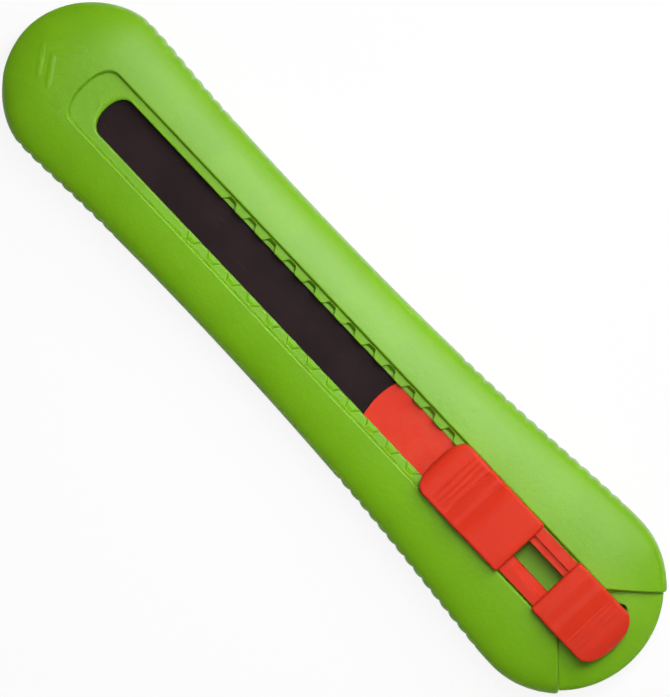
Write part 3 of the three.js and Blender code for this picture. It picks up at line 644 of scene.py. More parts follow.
def coated_blade():
    """Dark matt coating sprayed on steel: fine speckle, faint lines, rubbed edges."""
    material, tree, shader = new_material("coated_blade")
    grain = placed_group(tree, "grain", grain_size=0.18, wave_size=9.0)
    edges = placed_group(tree, "wear", amount=0.5, patch_size=2.0)
    scuffs = placed_group(tree, "hairlines", share=0.5, spacing=1.1)["Mask"]
    base = mix_colour(tree, ramp(tree, grain["Waves"], 0.3, 0.7), COATING_DEEP, COATING)
    base = mix_colour(tree, times(tree, ramp(tree, grain["Grain"], 0.5, 0.8), 0.3), base, COATING_SPECK)
    base = mix_colour(tree, times(tree, scuffs, 0.25), base, COATING_SCUFF)
    feed(tree, shader, {
        "Base Color": mix_colour(tree, edges["Worn"], base, COATING_WORN),
        "Roughness": ramp(tree, grain["Grain"], 0.3, 0.7, 0.6, 0.74),
        "Metallic": times(tree, edges["Worn"], 0.7),
        "Normal": relief(tree, grain["Height"], 0.014), "Specular IOR Level": 0.14})
    return material


def plain_steel():
    material, tree, shader = new_material("plain_steel")
    lines = placed_group(tree, "brushed")
    edges = placed_group(tree, "wear", amount=0.5, patch_size=1.0)
    base = mix_colour(tree, lines["Tone"], STEEL_DEEP, STEEL)
    feed(tree, shader, {
        # Painted shade: creases and hollow edges darken towards a near-black tone.
        "Base Color": mix_colour(tree, edges["Crease"], base, STEEL_PAINTED_SHADE), "Metallic": 1.0,
        "Roughness": ramp(tree, lines["Height"], 0.3, 0.7, 0.24, 0.4),
        "Normal": relief(tree, lines["Height"], 0.01, 0.4)})
    return material


# Plain, deeper and paler colour of each plastic.
GREEN = (0.200, 0.474, 0.006, 1), (0.182, 0.440, 0.005, 1), (0.42, 0.72, 0.20, 1)
# The inside green is a darker copy of the green plastic: painted shade for the tray seen down the window.
INSIDE_SHADED = (0.19, 0.455, 0.006, 1), (0.17, 0.42, 0.005, 1), (0.36, 0.64, 0.16, 1)
RED = (0.75, 0.038, 0.0135, 1), (0.71, 0.032, 0.0115, 1), (0.88, 0.20, 0.12, 1)
COATING, COATING_DEEP = (0.021, 0.0094, 0.0118, 1), (0.016, 0.007, 0.009, 1)
COATING_SPECK = (0.05, 0.034, 0.037, 1)
COATING_SCUFF, COATING_WORN = (0.12, 0.1, 0.1, 1), (0.32, 0.31, 0.3, 1)
# The steel's third colour is painted shade for its creases.
STEEL, STEEL_DEEP, STEEL_PAINTED_SHADE = (0.62, 0.62, 0.61, 1), (0.42, 0.43, 0.44, 1), (0.16, 0.15, 0.14, 1)

green = moulded_plastic("green_plastic", GREEN, 0.37, grain_size=0.32, bump=0.05, gloss=0.29)
green_inside_shaded = moulded_plastic("green_inside_shaded", INSIDE_SHADED, 0.5)
# The red plastic gets weaker painted shade in its creases.
red = moulded_plastic(
    "red_plastic", RED, 0.42, grain_size=0.3, bump=0.010, wear=0.08, speckle=0.04, crease=0.3, gloss=0.13)
blade_coating = coated_blade()
steel = plain_steel()

# ---- Front shell ----

# Columns on the outline, the recess's edge and the slot's edge, with their directions outwards.
OUT_A = spaced(OUTER, Q)
O, ON = OUTER.at(OUT_A), OUTER.normal(OUT_A)
END_ROUND = 0.7
GRIP = grip_depth(O[:, 0]) + eased_edge(OUTER.length - OUT_A, END_ROUND)
RECESS_A = spaced(RECESS, Q)
R, RN = RECESS.at(RECESS_A), RECESS.normal(RECESS_A)
SLOT_A = spaced(SLOT, Q)
S, SN = SLOT.at(SLOT_A), SLOT.normal(SLOT_A)
LEAN = np.clip((Q - SHEAR_START) / (SLOT_REAR - SHEAR_START), 0, 1)


def gripped(plan):
    """Moves points near the outline inwards where the finger scallops are."""
    share = 1 - soft_step(np.hypot(*(O - plan).T) / GRIP_REACH)
    return plan - ON * (GRIP * share)[:, None]


def outward_to(inner, count, start_angle):
    """Plan points from the outline in to a line, evenly spread along the crown's curve."""
    places = np.linspace(0, 1, 260) ** 2
    last = np.arccos(np.clip(spread(*inner.T), 0, 1) ** (FRONT_ROUNDNESS / 2))
    rows = []
    samples = np.stack([spread(*between(O, inner, p).T) for p in places])
    for k in range(count):
        angle = start_angle + (last - start_angle) * k / (count - 1)
        wanted = np.cos(angle) ** (2 / FRONT_ROUNDNESS)
        share = np.array([np.interp(-wanted[c], -samples[:, c], places) for c in range(len(Q))])
        rows.append(between(O, inner, share))
    return rows


def vee_plan(plan):
    """Keeps the last column exactly on the arm of the V."""
    plan = plan.copy()
    plan[-1, 0] = vee_x(plan[-1, 1])
    return plan


def over_mouth(plan, lip):
    """Fills the crown out to the outline above the blade's mouth, as an overhanging lip."""
    away, lip_away = np.hypot(*(O - plan).T), np.hypot(*(O - lip).T)
    near = soft_step((MOUTH_HALF + LIP_FADE - np.abs(O[:, 1])) / LIP_FADE)
    near = np.where(O[:, 0] < NOSE_LENGTH, near, 0)
    fade = np.clip(1 - (away - lip_away) / LIP_FADE, 0, 1) ** 2
    out = near * fade * np.minimum(away, lip_away)
    return plan + (O - plan) * (out / np.maximum(away, 1e-6))[:, None]


CREST, FOOT_IN, BESIDE_RIM = 0.38, 0.2, 0.12  # the recess's side starts, ends, and the row before it
DOME_ROWS, RECESS_ROWS, RECESS_LEAN = 26, 12, 2.2
SLOT_LIP, LIP_THINNING, FRONT_LIP, FRONT_LIP_REACH, LIP_DROP = 0.2, 0.12, 0.75, 5.5, 0.6
POCKET_LEAN, POCKET_FOOT_LEAN, POCKET_SILL = 0.56, 0.62, 0.08
VEE_EDGE_ROUND, LEAST_EDGE, SEAM_EDGE = 0.45, 0.3, 0.1


def crown_angle(z):
    """Angle along the crown's curve at a height."""
    return np.arcsin(np.clip((z - SEAM_Z + SEAM_EDGE) / CROWN_HEIGHT, 0, 1) ** (FRONT_ROUNDNESS / 2))


def front_shell_rows():
    """Sections of the front shell, from its seam over the dome, the slot and the underside."""
    open_front = (np.abs(O[:, 1]) < MOUTH_HALF) & (O[:, 0] < NOSE_LENGTH)
    floor_z = np.where(open_front, MOUTH_TOP_Z, SEAM_Z)
    rim = R + RN * CREST
    dome = outward_to(rim, DOME_ROWS, crown_angle(floor_z))
    mouth_lip = outward_to(rim, 2, crown_angle(MOUTH_TOP_Z))[0]
    foot = over_mouth(dome[0], mouth_lip) - ON * SEAM_EDGE
    rows = [raised(gripped(foot), floor_z)]
    for plan in dome:
        plan = vee_plan(plan)
        rows.append(raised(gripped(over_mouth(plan, mouth_lip)), crown(*plan.T)))
    rim_z = crown(*rim.T)
    beside_rim = vee_plan(rim + RN * BESIDE_RIM)
    rows.insert(-1, raised(beside_rim, crown(*beside_rim.T)))

    def add(plan, z):
        rows.append(raised(vee_plan(plan), z))

    # The recess's side leans and runs out softly at both ends.
    for share in np.linspace(0, 1, RECESS_ROWS + 1)[1:]:
        add(R + RN * (CREST - (CREST + FOOT_IN) * share), rim_z + (RECESS_Z - rim_z) * share**RECESS_LEAN)
    # The recess's floor, the rounded edge of the slot and the walls of the pockets.
    reach = notch_reach(S[:, 0])
    reach[S[:, 0] < NOTCH_FIRST - NOTCH_PITCH] = 0
    pocket = S + SN * reach[:, None]
    depth = reach / NOTCH_REACH
    lip = SLOT_LIP - LIP_THINNING * depth + FRONT_LIP * np.clip(1 - SLOT_A / FRONT_LIP_REACH, 0, 1)
    lip_top = pocket + SN * lip[:, None]
    for share in (0.12, 0.5, 0.88):
        add(between(R - RN * FOOT_IN, lip_top, share), RECESS_Z)
    for angle in (0, 22, 45, 68, 90):
        a = math.radians(angle)
        add(pocket + SN * lip[:, None] * (1 - math.sin(a)),
            RECESS_Z - np.minimum(lip, LIP_DROP) * (1 - math.cos(a)))
    add(pocket - SN * (POCKET_LEAN * depth)[:, None], NOTCH_Z + POCKET_SILL)
    add(pocket - SN * (POCKET_FOOT_LEAN * depth)[:, None], NOTCH_Z)
    add(S + SN * (POCKET_SILL * depth)[:, None], NOTCH_Z)
    add(S, NOTCH_Z - POCKET_SILL)
    add(S, SLOT_UNDER_Z + 0.05)
    add(S + SN * 0.05, SLOT_UNDER_Z)
    # Underside: the tongue's channel, the blade's channel, the guide walls and the hollow crown.
    span = np.hypot(*(O - S).T)
    body = Q >= FAN_END

    def out_from_slot(distance):
        fan = between(S, O, np.clip(distance / span, 0, 0.9))
        side = S + np.stack([distance * VEE_SLOPE * LEAN**2, np.full(len(Q), distance)], 1)
        blend = np.clip((Q - FAN_END) / FAN_BLEND, 0, 1)[:, None]
        return vee_plan(np.where(body[:, None], fan * (1 - blend) + side * blend, fan))

    channel = out_from_slot(TONGUE_CHANNEL - SLOT_HALF)
    foot_plan = gripped(foot)

    def in_mouth_or(share, plan):
        """A share of the way from the channel to the foot in the mouth, and the plan elsewhere."""
        return np.where(open_front[:, None], between(channel, foot_plan, share), plan)

    blade_edge = in_mouth_or(0.9, out_from_slot(BLADE_CHANNEL - SLOT_HALF))
    guide_edge = in_mouth_or(0.95, out_from_slot(GUIDE_HALF - SLOT_HALF))
    inner_wall = vee_plan(foot_plan - ON * np.where(open_front, 0.02, SHELL_WALL - SEAM_EDGE)[:, None])
    low = np.where(open_front, MOUTH_TOP_Z, np.where(body, RAIL_Z, SEAM_Z + 0.02))

    def hollow_z(plan):
        return np.where(body, crown(*plan.T, SHELL_WALL, CROWN_HEIGHT - SHELL_WALL), low)

    for plan, z in (
            (channel, SLOT_UNDER_Z), (channel, GUIDE_Z), (blade_edge, GUIDE_Z), (blade_edge, low),
            (guide_edge, low), (guide_edge, hollow_z(guide_edge))):
        rows.append(raised(plan, z))
    for share in (0.35, 0.65, 0.85, 0.95):
        plan = vee_plan(between(guide_edge, inner_wall, share))
        rows.append(raised(plan, hollow_z(plan)))
    rows.append(raised(inner_wall, floor_z))
    grid = np.stack(rows)
    # The shell's edge along the V is rounded, on the dome and down to the recess's floor.
    from_vee = (vee_x(grid[..., 1]) - grid[..., 0]) * math.sin(VEE_ANGLE)
    height = grid[:, :, 2]
    on_dome = np.arange(len(grid))[:, None] <= len(dome)
    drop = np.minimum(eased_edge(from_vee, VEE_EDGE_ROUND), np.maximum(height - SEAM_Z - LEAST_EDGE, 0))
    height -= np.where((height > RECESS_Z - LIP_DROP) | on_dome, drop, 0)
    return both_sides(grid)


def chevrons():
    """Two low raised arrowheads on the nose that point the way the blade comes out."""
    points, faces = [], []
    half, tip_round, step, ridge_scale, end_tapers = 5.1, 0.12, 0.35, 1.2, (0.35, 0.75, 0.95)
    profile = [(-0.62, -0.3), (-0.6, 0.0), (-0.5, 0.01), (-0.38, 0.045), (-0.2, 0.075), (0, 0.085),
               (0.2, 0.075), (0.38, 0.045), (0.5, 0.01), (0.6, 0.0), (0.62, -0.3)]
    for apex, tail_x in ((4.3, 8.0), (7.0, 10.7)):
        line = [
            (tail_x, -half), (apex + tip_round, -0.25), (apex, 0), (apex + tip_round, 0.25), (tail_x, half)]
        samples = []
        for a, b in zip(line[:-1], line[1:]):
            count = max(1, int(math.dist(a, b) / step))
            samples += [between(np.array(a), np.array(b), i / count) for i in range(count)]
        samples = np.array(samples + [line[-1]])
        run = np.gradient(samples, axis=0)
        run /= np.hypot(*run.T)[:, None]
        across = np.stack([-run[:, 1], run[:, 0]], 1)
        first = len(points)
        for i, (centre, n) in enumerate(zip(samples, across)):
            near_end = min(i, len(samples) - 1 - i)
            taper = end_tapers[near_end] if near_end < len(end_tapers) else 1.0
            for offset, height in profile:
                x, y = centre + n * offset * ridge_scale * taper
                z = float(crown(x, y)) + (height * taper if height > 0 else height)
                points.append((x, y, z))
        width = len(profile)
        faces += grid_faces(len(samples), width, first)
        faces.append([first + k for k in range(width)])
        faces.append([first + (len(samples) - 1) * width + k for k in range(width)][::-1])
        for i in range(len(samples) - 1):
            a = first + i * width
            faces.append([a, a + width, a + 2 * width - 1, a + width - 1])
    return points, faces


front_shell = mesh_object("front_shell_body", *swept(front_shell_rows()))
placed(front_shell, green, "handle", "green_plastic", "front_shell")
placed(mesh_object("nose_arrows", *chevrons(), 60), green, "handle", "green_plastic")

# ---- Back shell ----


def back_shell_rows():
    """Sections of the back shell, from its seam over the flat back to the walls inside."""
    flat = rounded(SIDE_LOW_Z / BACK_HEIGHT, BACK_ROUNDNESS)
    inner = vee_plan(O - ON * SHELL_WALL)
    rows = [raised(inner, SEAM_Z - 0.02), raised(gripped(O - ON * 0.1), SEAM_Z - 0.02)]
    rows.append(raised(gripped(O), SEAM_Z - 0.1))
    for z in (8.6, 7.4, 6.2):
        rows.append(raised(gripped(O), z))
    last_angle = math.acos(flat ** (BACK_ROUNDNESS / 2))
    steps, grip_steps = 14, 9
    for k in range(steps + 1):
        angle = last_angle * k / steps
        plan = drawn_in(math.cos(angle) ** (2 / BACK_ROUNDNESS))
        fade = max(0.0, 1 - (k / grip_steps)) ** 0.7
        z = SIDE_LOW_Z - BACK_HEIGHT * math.sin(angle) ** (2 / BACK_ROUNDNESS)
        rows.append(raised(plan - ON * (GRIP * fade)[:, None], max(z, 0.0)))
    rows += [raised(drawn_in(flat - 0.02), 0.0), raised(SPINE, 0.0), raised(SPINE, FLOOR_Z)]
    for s, z in ((flat - 0.05, FLOOR_Z), (0.72, 2.15), (0.8, 2.7), (0.86, 3.7), (0.885, 5.2)):
        rows.append(raised(drawn_in(s), z))
    return both_sides(rows)


def spine_points():
    """Where the columns meet the middle plane: fanned at the nose, even to the V's apex."""
    x = np.where(Q > SHEAR_START, SHEAR_START + (VEE_APEX - SHEAR_START) * LEAN, O[:, 0])
    return np.stack([np.maximum(x, NOSE_LENGTH), np.zeros(len(Q))], 1)


SPINE = spine_points()
SHARES = np.linspace(0, 1, 200)
SPREADS = np.stack([spread(*between(O, SPINE, k).T) for k in SHARES])


def drawn_in(s):
    """Points of the columns where the body's spread is s."""
    share = np.array([np.interp(-s, -SPREADS[:, c], SHARES) for c in range(len(Q))])
    return vee_plan(between(O, SPINE, share))


back_shell = mesh_object("back_shell_body", *swept(back_shell_rows()))
SCREW_PLACES = [(x, side * y) for x, y in ((13.0, 12.2), (133.0, 13.4)) for side in (-1, 1)]
SCREW_HOLE = [(0, -2), (2.75, -2), (2.55, 0.9), (2.3, 1.25), (2.3, 2.9), (0, 2.9)]
cut_away(back_shell, [turned(x, y, SCREW_HOLE) for x, y in SCREW_PLACES])
shade(back_shell, 35)
placed(back_shell, green, "handle", "green_plastic", "back_shell")

# ---- End cap ----


def cap_spread(plan):
    """How far out a point of the cap lies: 0 on the spine, 1 on the cap's own outline."""
    behind = np.maximum(plan[:, 0] - TAIL_X, 0) / TAIL_LENGTH
    return np.clip(np.hypot(behind, plan[:, 1] / (TAIL_HALF - CAP_STEP)), 0, 1)


def form_block(start_x, inset, front_height, back_height, floor_z):
    """The body's form from a place rearwards, drawn in by an inset, above a floor."""
    half, long = TAIL_HALF - inset, TAIL_LENGTH - inset
    a = np.linspace(-math.pi / 2, math.pi / 2, 61)
    edge = np.stack([TAIL_X + long * np.cos(a), half * np.sin(a)], 1)
    edge = np.concatenate([[(start_x, -half)], edge, [(start_x, half)]])
    spine = np.stack([np.minimum(edge[:, 0], TAIL_X), np.zeros(len(edge))], 1)
    rows = []
    for s in np.linspace(0, 1, 16) ** 0.6:
        rows.append(raised(between(spine, edge, s), SEAM_Z + front_height * rounded(s, FRONT_ROUNDNESS)))
    for s in np.linspace(1, 0, 16) ** 0.6:
        z = SIDE_LOW_Z - back_height * rounded(s, BACK_ROUNDNESS)
        rows.append(raised(between(spine, edge, s), max(z, floor_z)))
    return mesh_object("tool", *swept(np.stack(rows)))


def spigot():
    """The cap's trough, which slides into the shells."""
    outer, inner, floor_half, wall = 11.8, 10.45, 9.5, 1.1
    low, high, heel = 2.25, SEAM_Z + 0.45, 3.8
    half = [(floor_half, low), (outer, heel), (outer, high), (inner, high), (inner, heel + wall / 2),
            (floor_half - wall / 2, low + wall)]
    return softened(bar("end_cap_spigot", half, 141.0, 151.8), 0.15)


def end_cap_points():
    """Sections of the end cap, fanned from the V's apex: over the top, down the side, under."""
    columns = 96
    apex_x = float(vee_x(0, CAP_GAP))
    long, broad = TAIL_LENGTH, TAIL_HALF - CAP_STEP
    end_y = float(to_tail(apex_x, VEE_SLOPE, 1, long, broad))
    half_angle = math.atan2(end_y, float(vee_x(end_y, CAP_GAP)) - apex_x)
    near_arm = np.array([0.0, 0.006, 0.013, 0.022, 0.034])
    middle = np.linspace(-half_angle + 0.05, half_angle - 0.05, columns - 2 * len(near_arm))
    directions = np.concatenate([-half_angle + near_arm, middle, half_angle - near_arm[::-1]])
    unit = np.stack([np.cos(directions), np.sin(directions)], 1)
    outer = to_tail(apex_x, *unit.T, long, broad)

    def ring(share):
        return np.array([apex_x, 0]) + unit * (outer * share)[:, None]

    def top_row(plan):
        height = (CROWN_HEIGHT - CAP_SINK) * rounded(cap_spread(plan), FRONT_ROUNDNESS)
        return raised(plan, SEAM_Z + height)

    def under_row(plan):
        depth = (BACK_HEIGHT - CAP_DROP) * rounded(cap_spread(plan), BACK_ROUNDNESS)
        return raised(plan, np.maximum(SIDE_LOW_Z - depth, CAP_DROP))

    shares = (1 - np.linspace(1, 0, 22) ** 2)[1:-1]
    apex = np.tile([apex_x, 0.0], (columns, 1))
    grid = np.stack([
        top_row(apex), *(top_row(ring(share)) for share in shares),
        *(raised(ring(1.0), z) for z in (SEAM_Z, 8.3, 6.9, SIDE_LOW_Z)),
        *(under_row(ring(share)) for share in shares[::-1]), raised(apex, CAP_DROP)])
    from_vee = (grid[..., 0] - vee_x(grid[..., 1], CAP_GAP)) * math.sin(VEE_ANGLE)
    on_top = grid[:, :, 2] > SEAM_Z + LEAST_EDGE
    grid[:, :, 2] -= np.where(on_top, eased_edge(from_vee, CAP_EDGE_ROUND), 0)
    return grid


end_cap = mesh_object("end_cap_body", *swept(end_cap_points()))
POCKET_HALF, POCKET_END, POCKET_Z, CORNER_R, CORNER_Y = 5.9, 153.0, 9.6, 1.3, 5.2
BEFORE_VEE, ABOVE = VEE_APEX - 5, 20
CORNER_CUT = [(0, POCKET_Z), (CORNER_R, POCKET_Z), (CORNER_R, ABOVE), (0, ABOVE)]
cut_away(end_cap, [
    form_block(BEFORE_VEE, inset=3.15, front_height=0.75, back_height=2.95, floor_z=3.25),
    block(BEFORE_VEE, POCKET_END, -POCKET_HALF, POCKET_HALF, POCKET_Z, ABOVE),
    *(turned(POCKET_END - CORNER_R, y, CORNER_CUT) for y in (CORNER_Y, -CORNER_Y)),
])
shade(softened(end_cap, 0.12, 50), 35)
placed(end_cap, green, "end_cap", "green_plastic", "end_cap")
placed(spigot(), green, "end_cap", "green_plastic")

# ---- Thumb pads ----


def smooth_line(points, x):
    """A smooth curve through points that doesn't overshoot them."""
    px, py = np.array(points, float).T
    slope = np.diff(py) / np.diff(px)
    m = np.zeros(len(px))
    for i in range(1, len(px) - 1):
        if slope[i - 1] * slope[i] > 0:
            m[i] = 2 * slope[i - 1] * slope[i] / (slope[i - 1] + slope[i])
    i = np.clip(np.searchsorted(px, x) - 1, 0, len(px) - 2)
    h = px[i + 1] - px[i]
    t = (x - px[i]) / h
    return ((2 * t**3 - 3 * t**2 + 1) * py[i] + (t**3 - 2 * t**2 + t) * h * m[i]
            + (3 * t**2 - 2 * t**3) * py[i + 1] + (t**3 - t**2) * h * m[i + 1])


def groove_depth(x, grooves, depth):
    """Depth of the pad's cross grooves at x."""
    near = min(abs(x - g) for g in grooves)
    return depth * (0.5 + 0.5 * math.cos(math.pi * min(near / GROOVE_HALF, 1)))


def pad_stations(length, end_depth, grooves):
    """Sections' places along a pad, close together at its ends and across its grooves."""
    near = end_depth * (1 - np.cos(np.linspace(0, math.pi / 2, 16)))
    near[0] = 0.002
    across = np.linspace(-GROOVE_HALF, GROOVE_HALF, 9)
    ridge = np.concatenate([g + across for g in grooves])
    plain = np.arange(end_depth, length - PAD_CORNER, 0.3)
    last = length - PAD_CORNER * (1 - np.sin(np.linspace(0, math.pi / 2, 6)))
    return np.unique(np.round(np.concatenate([near, ridge, plain, last]), 3))


def pad_grid(length, end_depth, fullness, top, base_z, grooves, depth, under):
    """A thumb pad along +x from its rounded end, as a closed loft of cross sections."""
    rows = []
    for x in pad_stations(length, end_depth, grooves):
        half = PAD_HALF * rounded(np.clip(1 - x / end_depth, 0, 1), fullness)
        half -= eased_edge(length - x, PAD_CORNER)
        h = float(smooth_line(top, x))
        low = under(x)
        r = max(min(PAD_EDGE, half * 0.8, (h - low) * 0.6), 0.001)
        section = [(half, low), (half, h - r)]
        for angle in (22, 45, 68):
            a = math.radians(angle)
            section.append((half - r * (1 - math.cos(a)), h - r * (1 - math.sin(a))))
        dip = groove_depth(x, grooves, depth)
        for k, share in ((1, 0), (0.96, 0), (0.92, 0.5), (0.88, 1), (0.5, 1), (0, 1)):
            section.append(((half - r) * k, h - dip * share))
        full = section + [(-y, z) for y, z in section[:-1][::-1]]
        rows.append([(x, y, base_z + z) for y, z in full])
    return np.array(rows)


# Height of each pad's top along it, from its rounded end, and the places of its grooves.
LEVER_TOP = [
    (0, 0.4), (0.3, 0.95), (1.0, 1.55), (2.2, 1.9), (3.4, 2.04), (5, 2.12), (7, 2.2), (8.4, 2.3),
    (9.5, 2.62), (10.4, 2.8), (11.2, 2.8), (12.1, 2.56), (13.2, 2.26), (14.4, 2.12),
    (17, 2.08), (21.2, 2.1), (21.85, 2.02), (22.08, 1.86), (LEVER_END - LEVER_START, 1.6)]
LEVER_GROOVES = [4.51, 5.79, 6.9, 8.17]
THUMB_TOP = [
    (0, 0.4), (0.3, 0.95), (1.0, 1.55), (2.2, 1.92), (3.3, 2.04), (5, 2.1), (6.8, 2.2), (7.9, 2.42),
    (8.8, 2.68), (9.6, 2.8), (10.6, 2.74), (11.7, 2.46), (12.6, 2.2), (13.4, 2.1),
    (14.8, 2.1), (15.35, 2.02), (15.58, 1.86), (THUMB_END - THUMB_START, 1.6)]
THUMB_GROOVES = [4.05, 5.1, 6.18, 7.0]


def lock_lever():
    """The front pad, hollow underneath, with room for the bridge, the pin and the spring."""
    pivot = PIVOT_X - LEVER_START

    def under(x):
        return max(0.0, (x - pivot) * math.tan(PRESS_ANGLE))

    grid = pad_grid(
        LEVER_END - LEVER_START, end_depth=2.85, fullness=2.4, top=LEVER_TOP, base_z=LEVER_Z,
        grooves=LEVER_GROOVES, depth=0.11, under=under)
    grid[..., 0] += LEVER_START
    lever = mesh_object("lock_lever_pad", *lofted(grid), 40)
    room_half, room_start, room_end, beneath = 4.9, LEVER_START + 3.75, LEVER_END - 2.5, 10
    boss_half, boss_room_z, pin_radius = 1.7, 15.8, 0.5
    spring_half, spring_start, spring_end, spring_room_z = 2.4, PIVOT_X + 2.1, PIVOT_X + 9.2, 15.72
    cut_away(lever, [
        block(room_start, room_end, -room_half, room_half, beneath, LEVER_ROOM_Z),
        block(PIVOT_X - boss_half, PIVOT_X + boss_half, -room_half, room_half, beneath, boss_room_z),
        block(spring_start, spring_end, -spring_half, spring_half, beneath, spring_room_z),
        cross_rod(PIVOT_X, PIVOT_Z, pin_radius, room_half + 0.5),
    ])
    shade(lever, 40)
    return lever


def lever_lugs():
    """The lever's two lugs, which catch in the racks."""
    section = ((-1.05, 4.4), (1.05, 4.4), (0.55, 5.2), (-0.55, 5.2))
    box = ((0, 1, 2, 3), (7, 6, 5, 4), (0, 4, 5, 1), (1, 5, 6, 2), (2, 6, 7, 3), (3, 7, 4, 0))
    points, faces = [], []
    for side in (-1, 1):
        faces += [[len(points) + i for i in face] for face in box]
        points += [(LUG_X + x, side * y, z) for z in (LUG_LOW_Z, LEVER_ROOM_Z) for x, y in section]
    return softened(mesh_object("lock_lever_lugs", points, faces), 0.1)


placed(lock_lever(), red, "lock_lever", "red_plastic", "lock_lever")
placed(lever_lugs(), red, "lock_lever", "red_plastic")


def rear_thumb_pad():
    grid = pad_grid(
        THUMB_END - THUMB_START, end_depth=3.3, fullness=2.15, top=THUMB_TOP, base_z=THUMB_PAD_Z,
        grooves=THUMB_GROOVES, depth=0.05, under=lambda x: 0.0)
    grid[..., 0] = THUMB_END - grid[..., 0]
    return mesh_object("rear_thumb_pad", *lofted(grid), 40)


placed(rear_thumb_pad(), red, "slider", "red_plastic", "rear_pad")

# ---- Guide tray ----


def guide_tray():
    """The tray under the blade: rails, deck with a channel for the peg ends, legs on the floor."""
    start, end, inner, leg_outer, channel = 19.0, VEE_APEX - 0.4, 7.4, 8.8, 2.7
    deck, under, soft, edge = 9.2, 8.2, 0.15, 0.12
    half = [
        (channel - 0.4, deck - 1.5), (channel, deck - 1.1), (channel, deck - soft), (channel + soft, deck),
        (inner - soft, deck), (inner, deck + soft), (inner, RAIL_Z - edge), (inner + edge, RAIL_Z),
        (GUIDE_HALF - edge, RAIL_Z), (GUIDE_HALF, RAIL_Z - edge), (GUIDE_HALF, under),
        (leg_outer, under), (leg_outer, FLOOR_Z), (inner, FLOOR_Z), (inner, under - 0.1),
        (channel + 1.0, under - 0.1), (channel + 0.7, deck - 2.5)]
    return bar("guide_tray_body", half, start, end, 30)


# The tray takes the darker copy of the green, painted shade.
placed(guide_tray(), green_inside_shaded, "handle", "green_plastic", "guide_tray")

# ---- Blade ----


def blade_points():
    """A blade ground from both faces, with fine teeth round its edge."""
    step, plain_grind, ground_edge, plain_edge, edge_in = 0.3, 0.12, 0.03, 0.2, 0.02
    straight = np.arange(BLADE_TIP + BLADE_HALF, BLADE_REAR - BLADE_CORNER, step)
    angles = np.linspace(0, math.pi / 2, 48)
    tip = np.stack([BLADE_TIP + BLADE_HALF * (1 - np.cos(angles)), BLADE_HALF * np.sin(angles)], 1)
    side = np.stack([straight[1:], np.full(len(straight) - 1, BLADE_HALF)], 1)
    butt = [
        (BLADE_REAR - BLADE_CORNER, BLADE_HALF), (BLADE_REAR, BLADE_HALF - BLADE_CORNER), (BLADE_REAR, 0)]
    curve = Curve(np.concatenate([tip, side, butt]))
    a = curve.along
    n = curve.normal(a)
    edge = curve.points
    ground = edge[:, 0] < GROUND_END
    teeth = np.where(ground, TOOTH_DEPTH * (1 - np.abs(np.sin(a * math.pi / TOOTH_PITCH))), 0)
    grind = np.where(ground, GRIND_WIDTH, plain_grind)
    middle = (BLADE_LOW_Z + BLADE_TOP_Z) / 2
    thin = np.where(ground, ground_edge, plain_edge)
    centre = np.stack([np.clip(edge[:, 0], BLADE_TIP + BLADE_HALF, BLADE_REAR), np.zeros(len(edge))], 1)
    cut = edge - n * (edge_in + teeth)[:, None]
    land = edge - n * (grind + 0.25 * teeth)[:, None]
    return both_sides([raised(plan, z) for plan, z in (
        (centre, BLADE_TOP_Z), (land, BLADE_TOP_Z), (cut, middle + thin), (cut, middle - thin),
        (land, BLADE_LOW_Z), (centre, BLADE_LOW_Z))])


blade = mesh_object("blade_body", *swept(blade_points()), 12)
below, above = 9, 12
peg_cut = [(0, below), (PEG_HOLE, below), (PEG_HOLE, above), (0, above)]
cut_away(blade, [turned(x, 0, peg_cut, 36) for x in PEG_XS])
shade(blade, 12)
placed(blade, blade_coating, "slider", "coated_blade", "blade")

# ---- Pieces whose shape stays as it is: finish and softened edges ----

STEEL_EDGES = {
    "blade_peg_front": 0.08, "blade_peg_rear": 0.08, "pivot_pin": 0.05, "lock_spring": 0.04,
    "slider_screw_front": 0.05, "slider_screw_rear": 0.05,
    "shell_screw_nose_left": 0.08, "shell_screw_nose_right": 0.08,
    "shell_screw_tail_left": 0.08, "shell_screw_tail_right": 0.08}
FINISHES = {"blade_carrier": (red, 0.1), "slider_bridge": (red, 0.12)}
FINISHES.update({name: (steel, width) for name, width in STEEL_EDGES.items()})
for name, (finish, width) in FINISHES.items():
    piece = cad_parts[name]
    finished(piece, finish)
    weld = piece.modifiers.new("weld", "WELD")
    weld.merge_threshold = WELD_WITHIN * MM
    flats = piece.modifiers.new("flats", "DECIMATE")
    flats.decimate_type = "DISSOLVE"
    flats.angle_limit = math.radians(1)
    soften(piece, width, 35).harden_normals = True
    level = piece.modifiers.new("level", "WEIGHTED_NORMAL")
    level.weight = 100
    level.keep_sharp = True

# ---- Floor, light and camera, in metres ----

FLOOR_HALF, FLOOR_GAP, FLOOR_GLOW, SKY_LIGHT = 1.5, 0.0002, 0.9, 0.03


def camera_sees(tree, other):
    """1 for what the camera sees and for one more kind of ray, else 0."""
    path = node(tree, "ShaderNodeLightPath").outputs
    return maths(tree, "MAXIMUM", path["Is Camera Ray"], path[other])


def pale_floor():
    """A pale floor that shows soft shadows and otherwise looks white."""
    material, tree, shader = new_material("pale_floor")
    feed(tree, shader, {"Base Color": (0.9, 0.9, 0.9, 1), "Roughness": 0.9, "Specular IOR Level": 0.1})
    share = times(tree, camera_sees(tree, "Is Glossy Ray"), FLOOR_GLOW)
    white = node(tree, "ShaderNodeEmission", {"Color": (1, 1, 1, 1), "Strength": 1.0}).outputs[0]
    mixed = node(tree, "ShaderNodeMixShader", {0: share, 1: shader.outputs[0], 2: white}).outputs[0]
    feed(tree, tree.nodes["Material Output"], {"Surface": mixed})
    return material


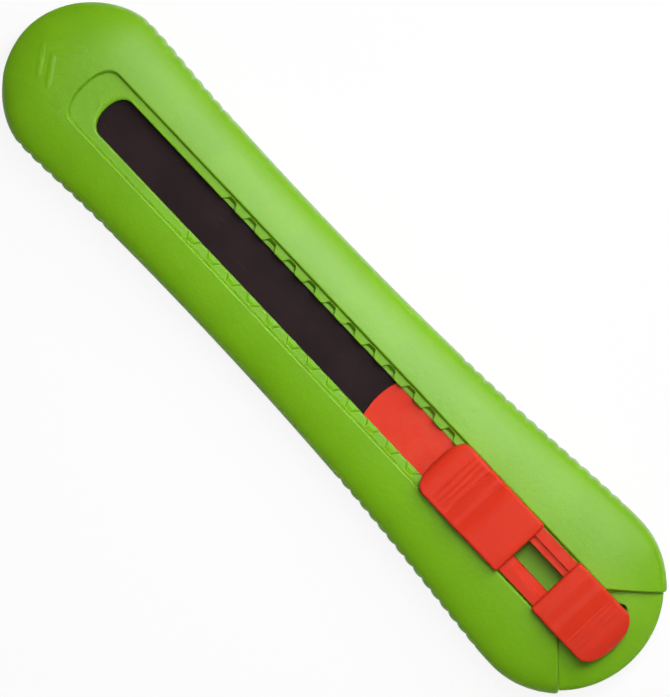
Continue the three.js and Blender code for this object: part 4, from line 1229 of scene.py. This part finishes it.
floor_mesh = bpy.data.meshes.new("floor")
corners = ((-1, -1), (1, -1), (1, 1), (-1, 1))
floor_mesh.from_pydata([(x * FLOOR_HALF, y * FLOOR_HALF, 0) for x, y in corners], [], [(0, 1, 2, 3)])
floor = bpy.data.objects.new("floor", floor_mesh)
floor.location.z = cad_low.z - FLOOR_GAP
bpy.context.scene.collection.objects.link(floor)
floor_mesh.materials.append(pale_floor())

sky = bpy.data.worlds.new("studio")
bpy.context.scene.world = sky
sky.use_nodes = True
strength = ramp(sky.node_tree, camera_sees(sky.node_tree, "Is Transmission Ray"), 0.0, 1.0, SKY_LIGHT, 1.0)
feed(sky.node_tree, sky.node_tree.nodes["Background"], {"Color": (1, 1, 1, 1), "Strength": strength})

# Each lamp's place, width, height, power and spread in degrees. All point at the knife's middle.
LAMPS = {
    "main_lamp": ((-0.015, 0.17, 0.47), 0.08, 0.30, 0.175, 52),
    "top_lamp": ((0.00, 0.05, 0.50), 0.30, 0.20, 0.22, 180),
    "side_lamp": ((0.05, 0.33, 0.30), 0.30, 0.25, 0.85, 180),
    "rear_lamp": ((0.48, 0.10, 0.30), 0.30, 0.30, 0.28, 180),
}
middle = (cad_low + cad_high) / 2
for name, (place, width, height, power, spread_angle) in LAMPS.items():
    light = bpy.data.lights.new(name, "AREA")
    light.shape = "RECTANGLE"
    light.size = width
    light.size_y = height
    light.energy = power
    light.spread = math.radians(spread_angle)
    lamp = bpy.data.objects.new(name, light)
    lamp.location = place
    lamp.rotation_mode = "QUATERNION"
    lamp.rotation_quaternion = (middle - Vector(place)).to_track_quat("-Z", "Y")
    bpy.context.scene.collection.objects.link(lamp)

scene = bpy.context.scene
SENSOR_WIDTH, CAMERA_DISTANCE, SEEN_HEIGHT = 36.0, 1.1, 0.1275
camera_data = bpy.data.cameras.new("camera")
camera = bpy.data.objects.new("camera", camera_data)
scene.collection.objects.link(camera)
scene.camera = camera
camera_data.sensor_fit = "AUTO"
camera_data.sensor_width = SENSOR_WIDTH
camera_data.lens = SENSOR_WIDTH * CAMERA_DISTANCE / SEEN_HEIGHT
aim = Vector(to_world((81.23, 0.07, 9.0))[0])
right = Vector((0.68627, 0.72735, 0)).normalized()
tilt = math.radians(4.0)
toward = Vector((0, math.sin(tilt), math.cos(tilt)))
right = (right - toward * right.dot(toward)).normalized()
up = toward.cross(right)
turn = Matrix((right, up, toward)).transposed().to_4x4()
camera.matrix_world = Matrix.Translation(aim + toward * CAMERA_DISTANCE) @ turn
scene.view_settings.view_transform = "Standard"
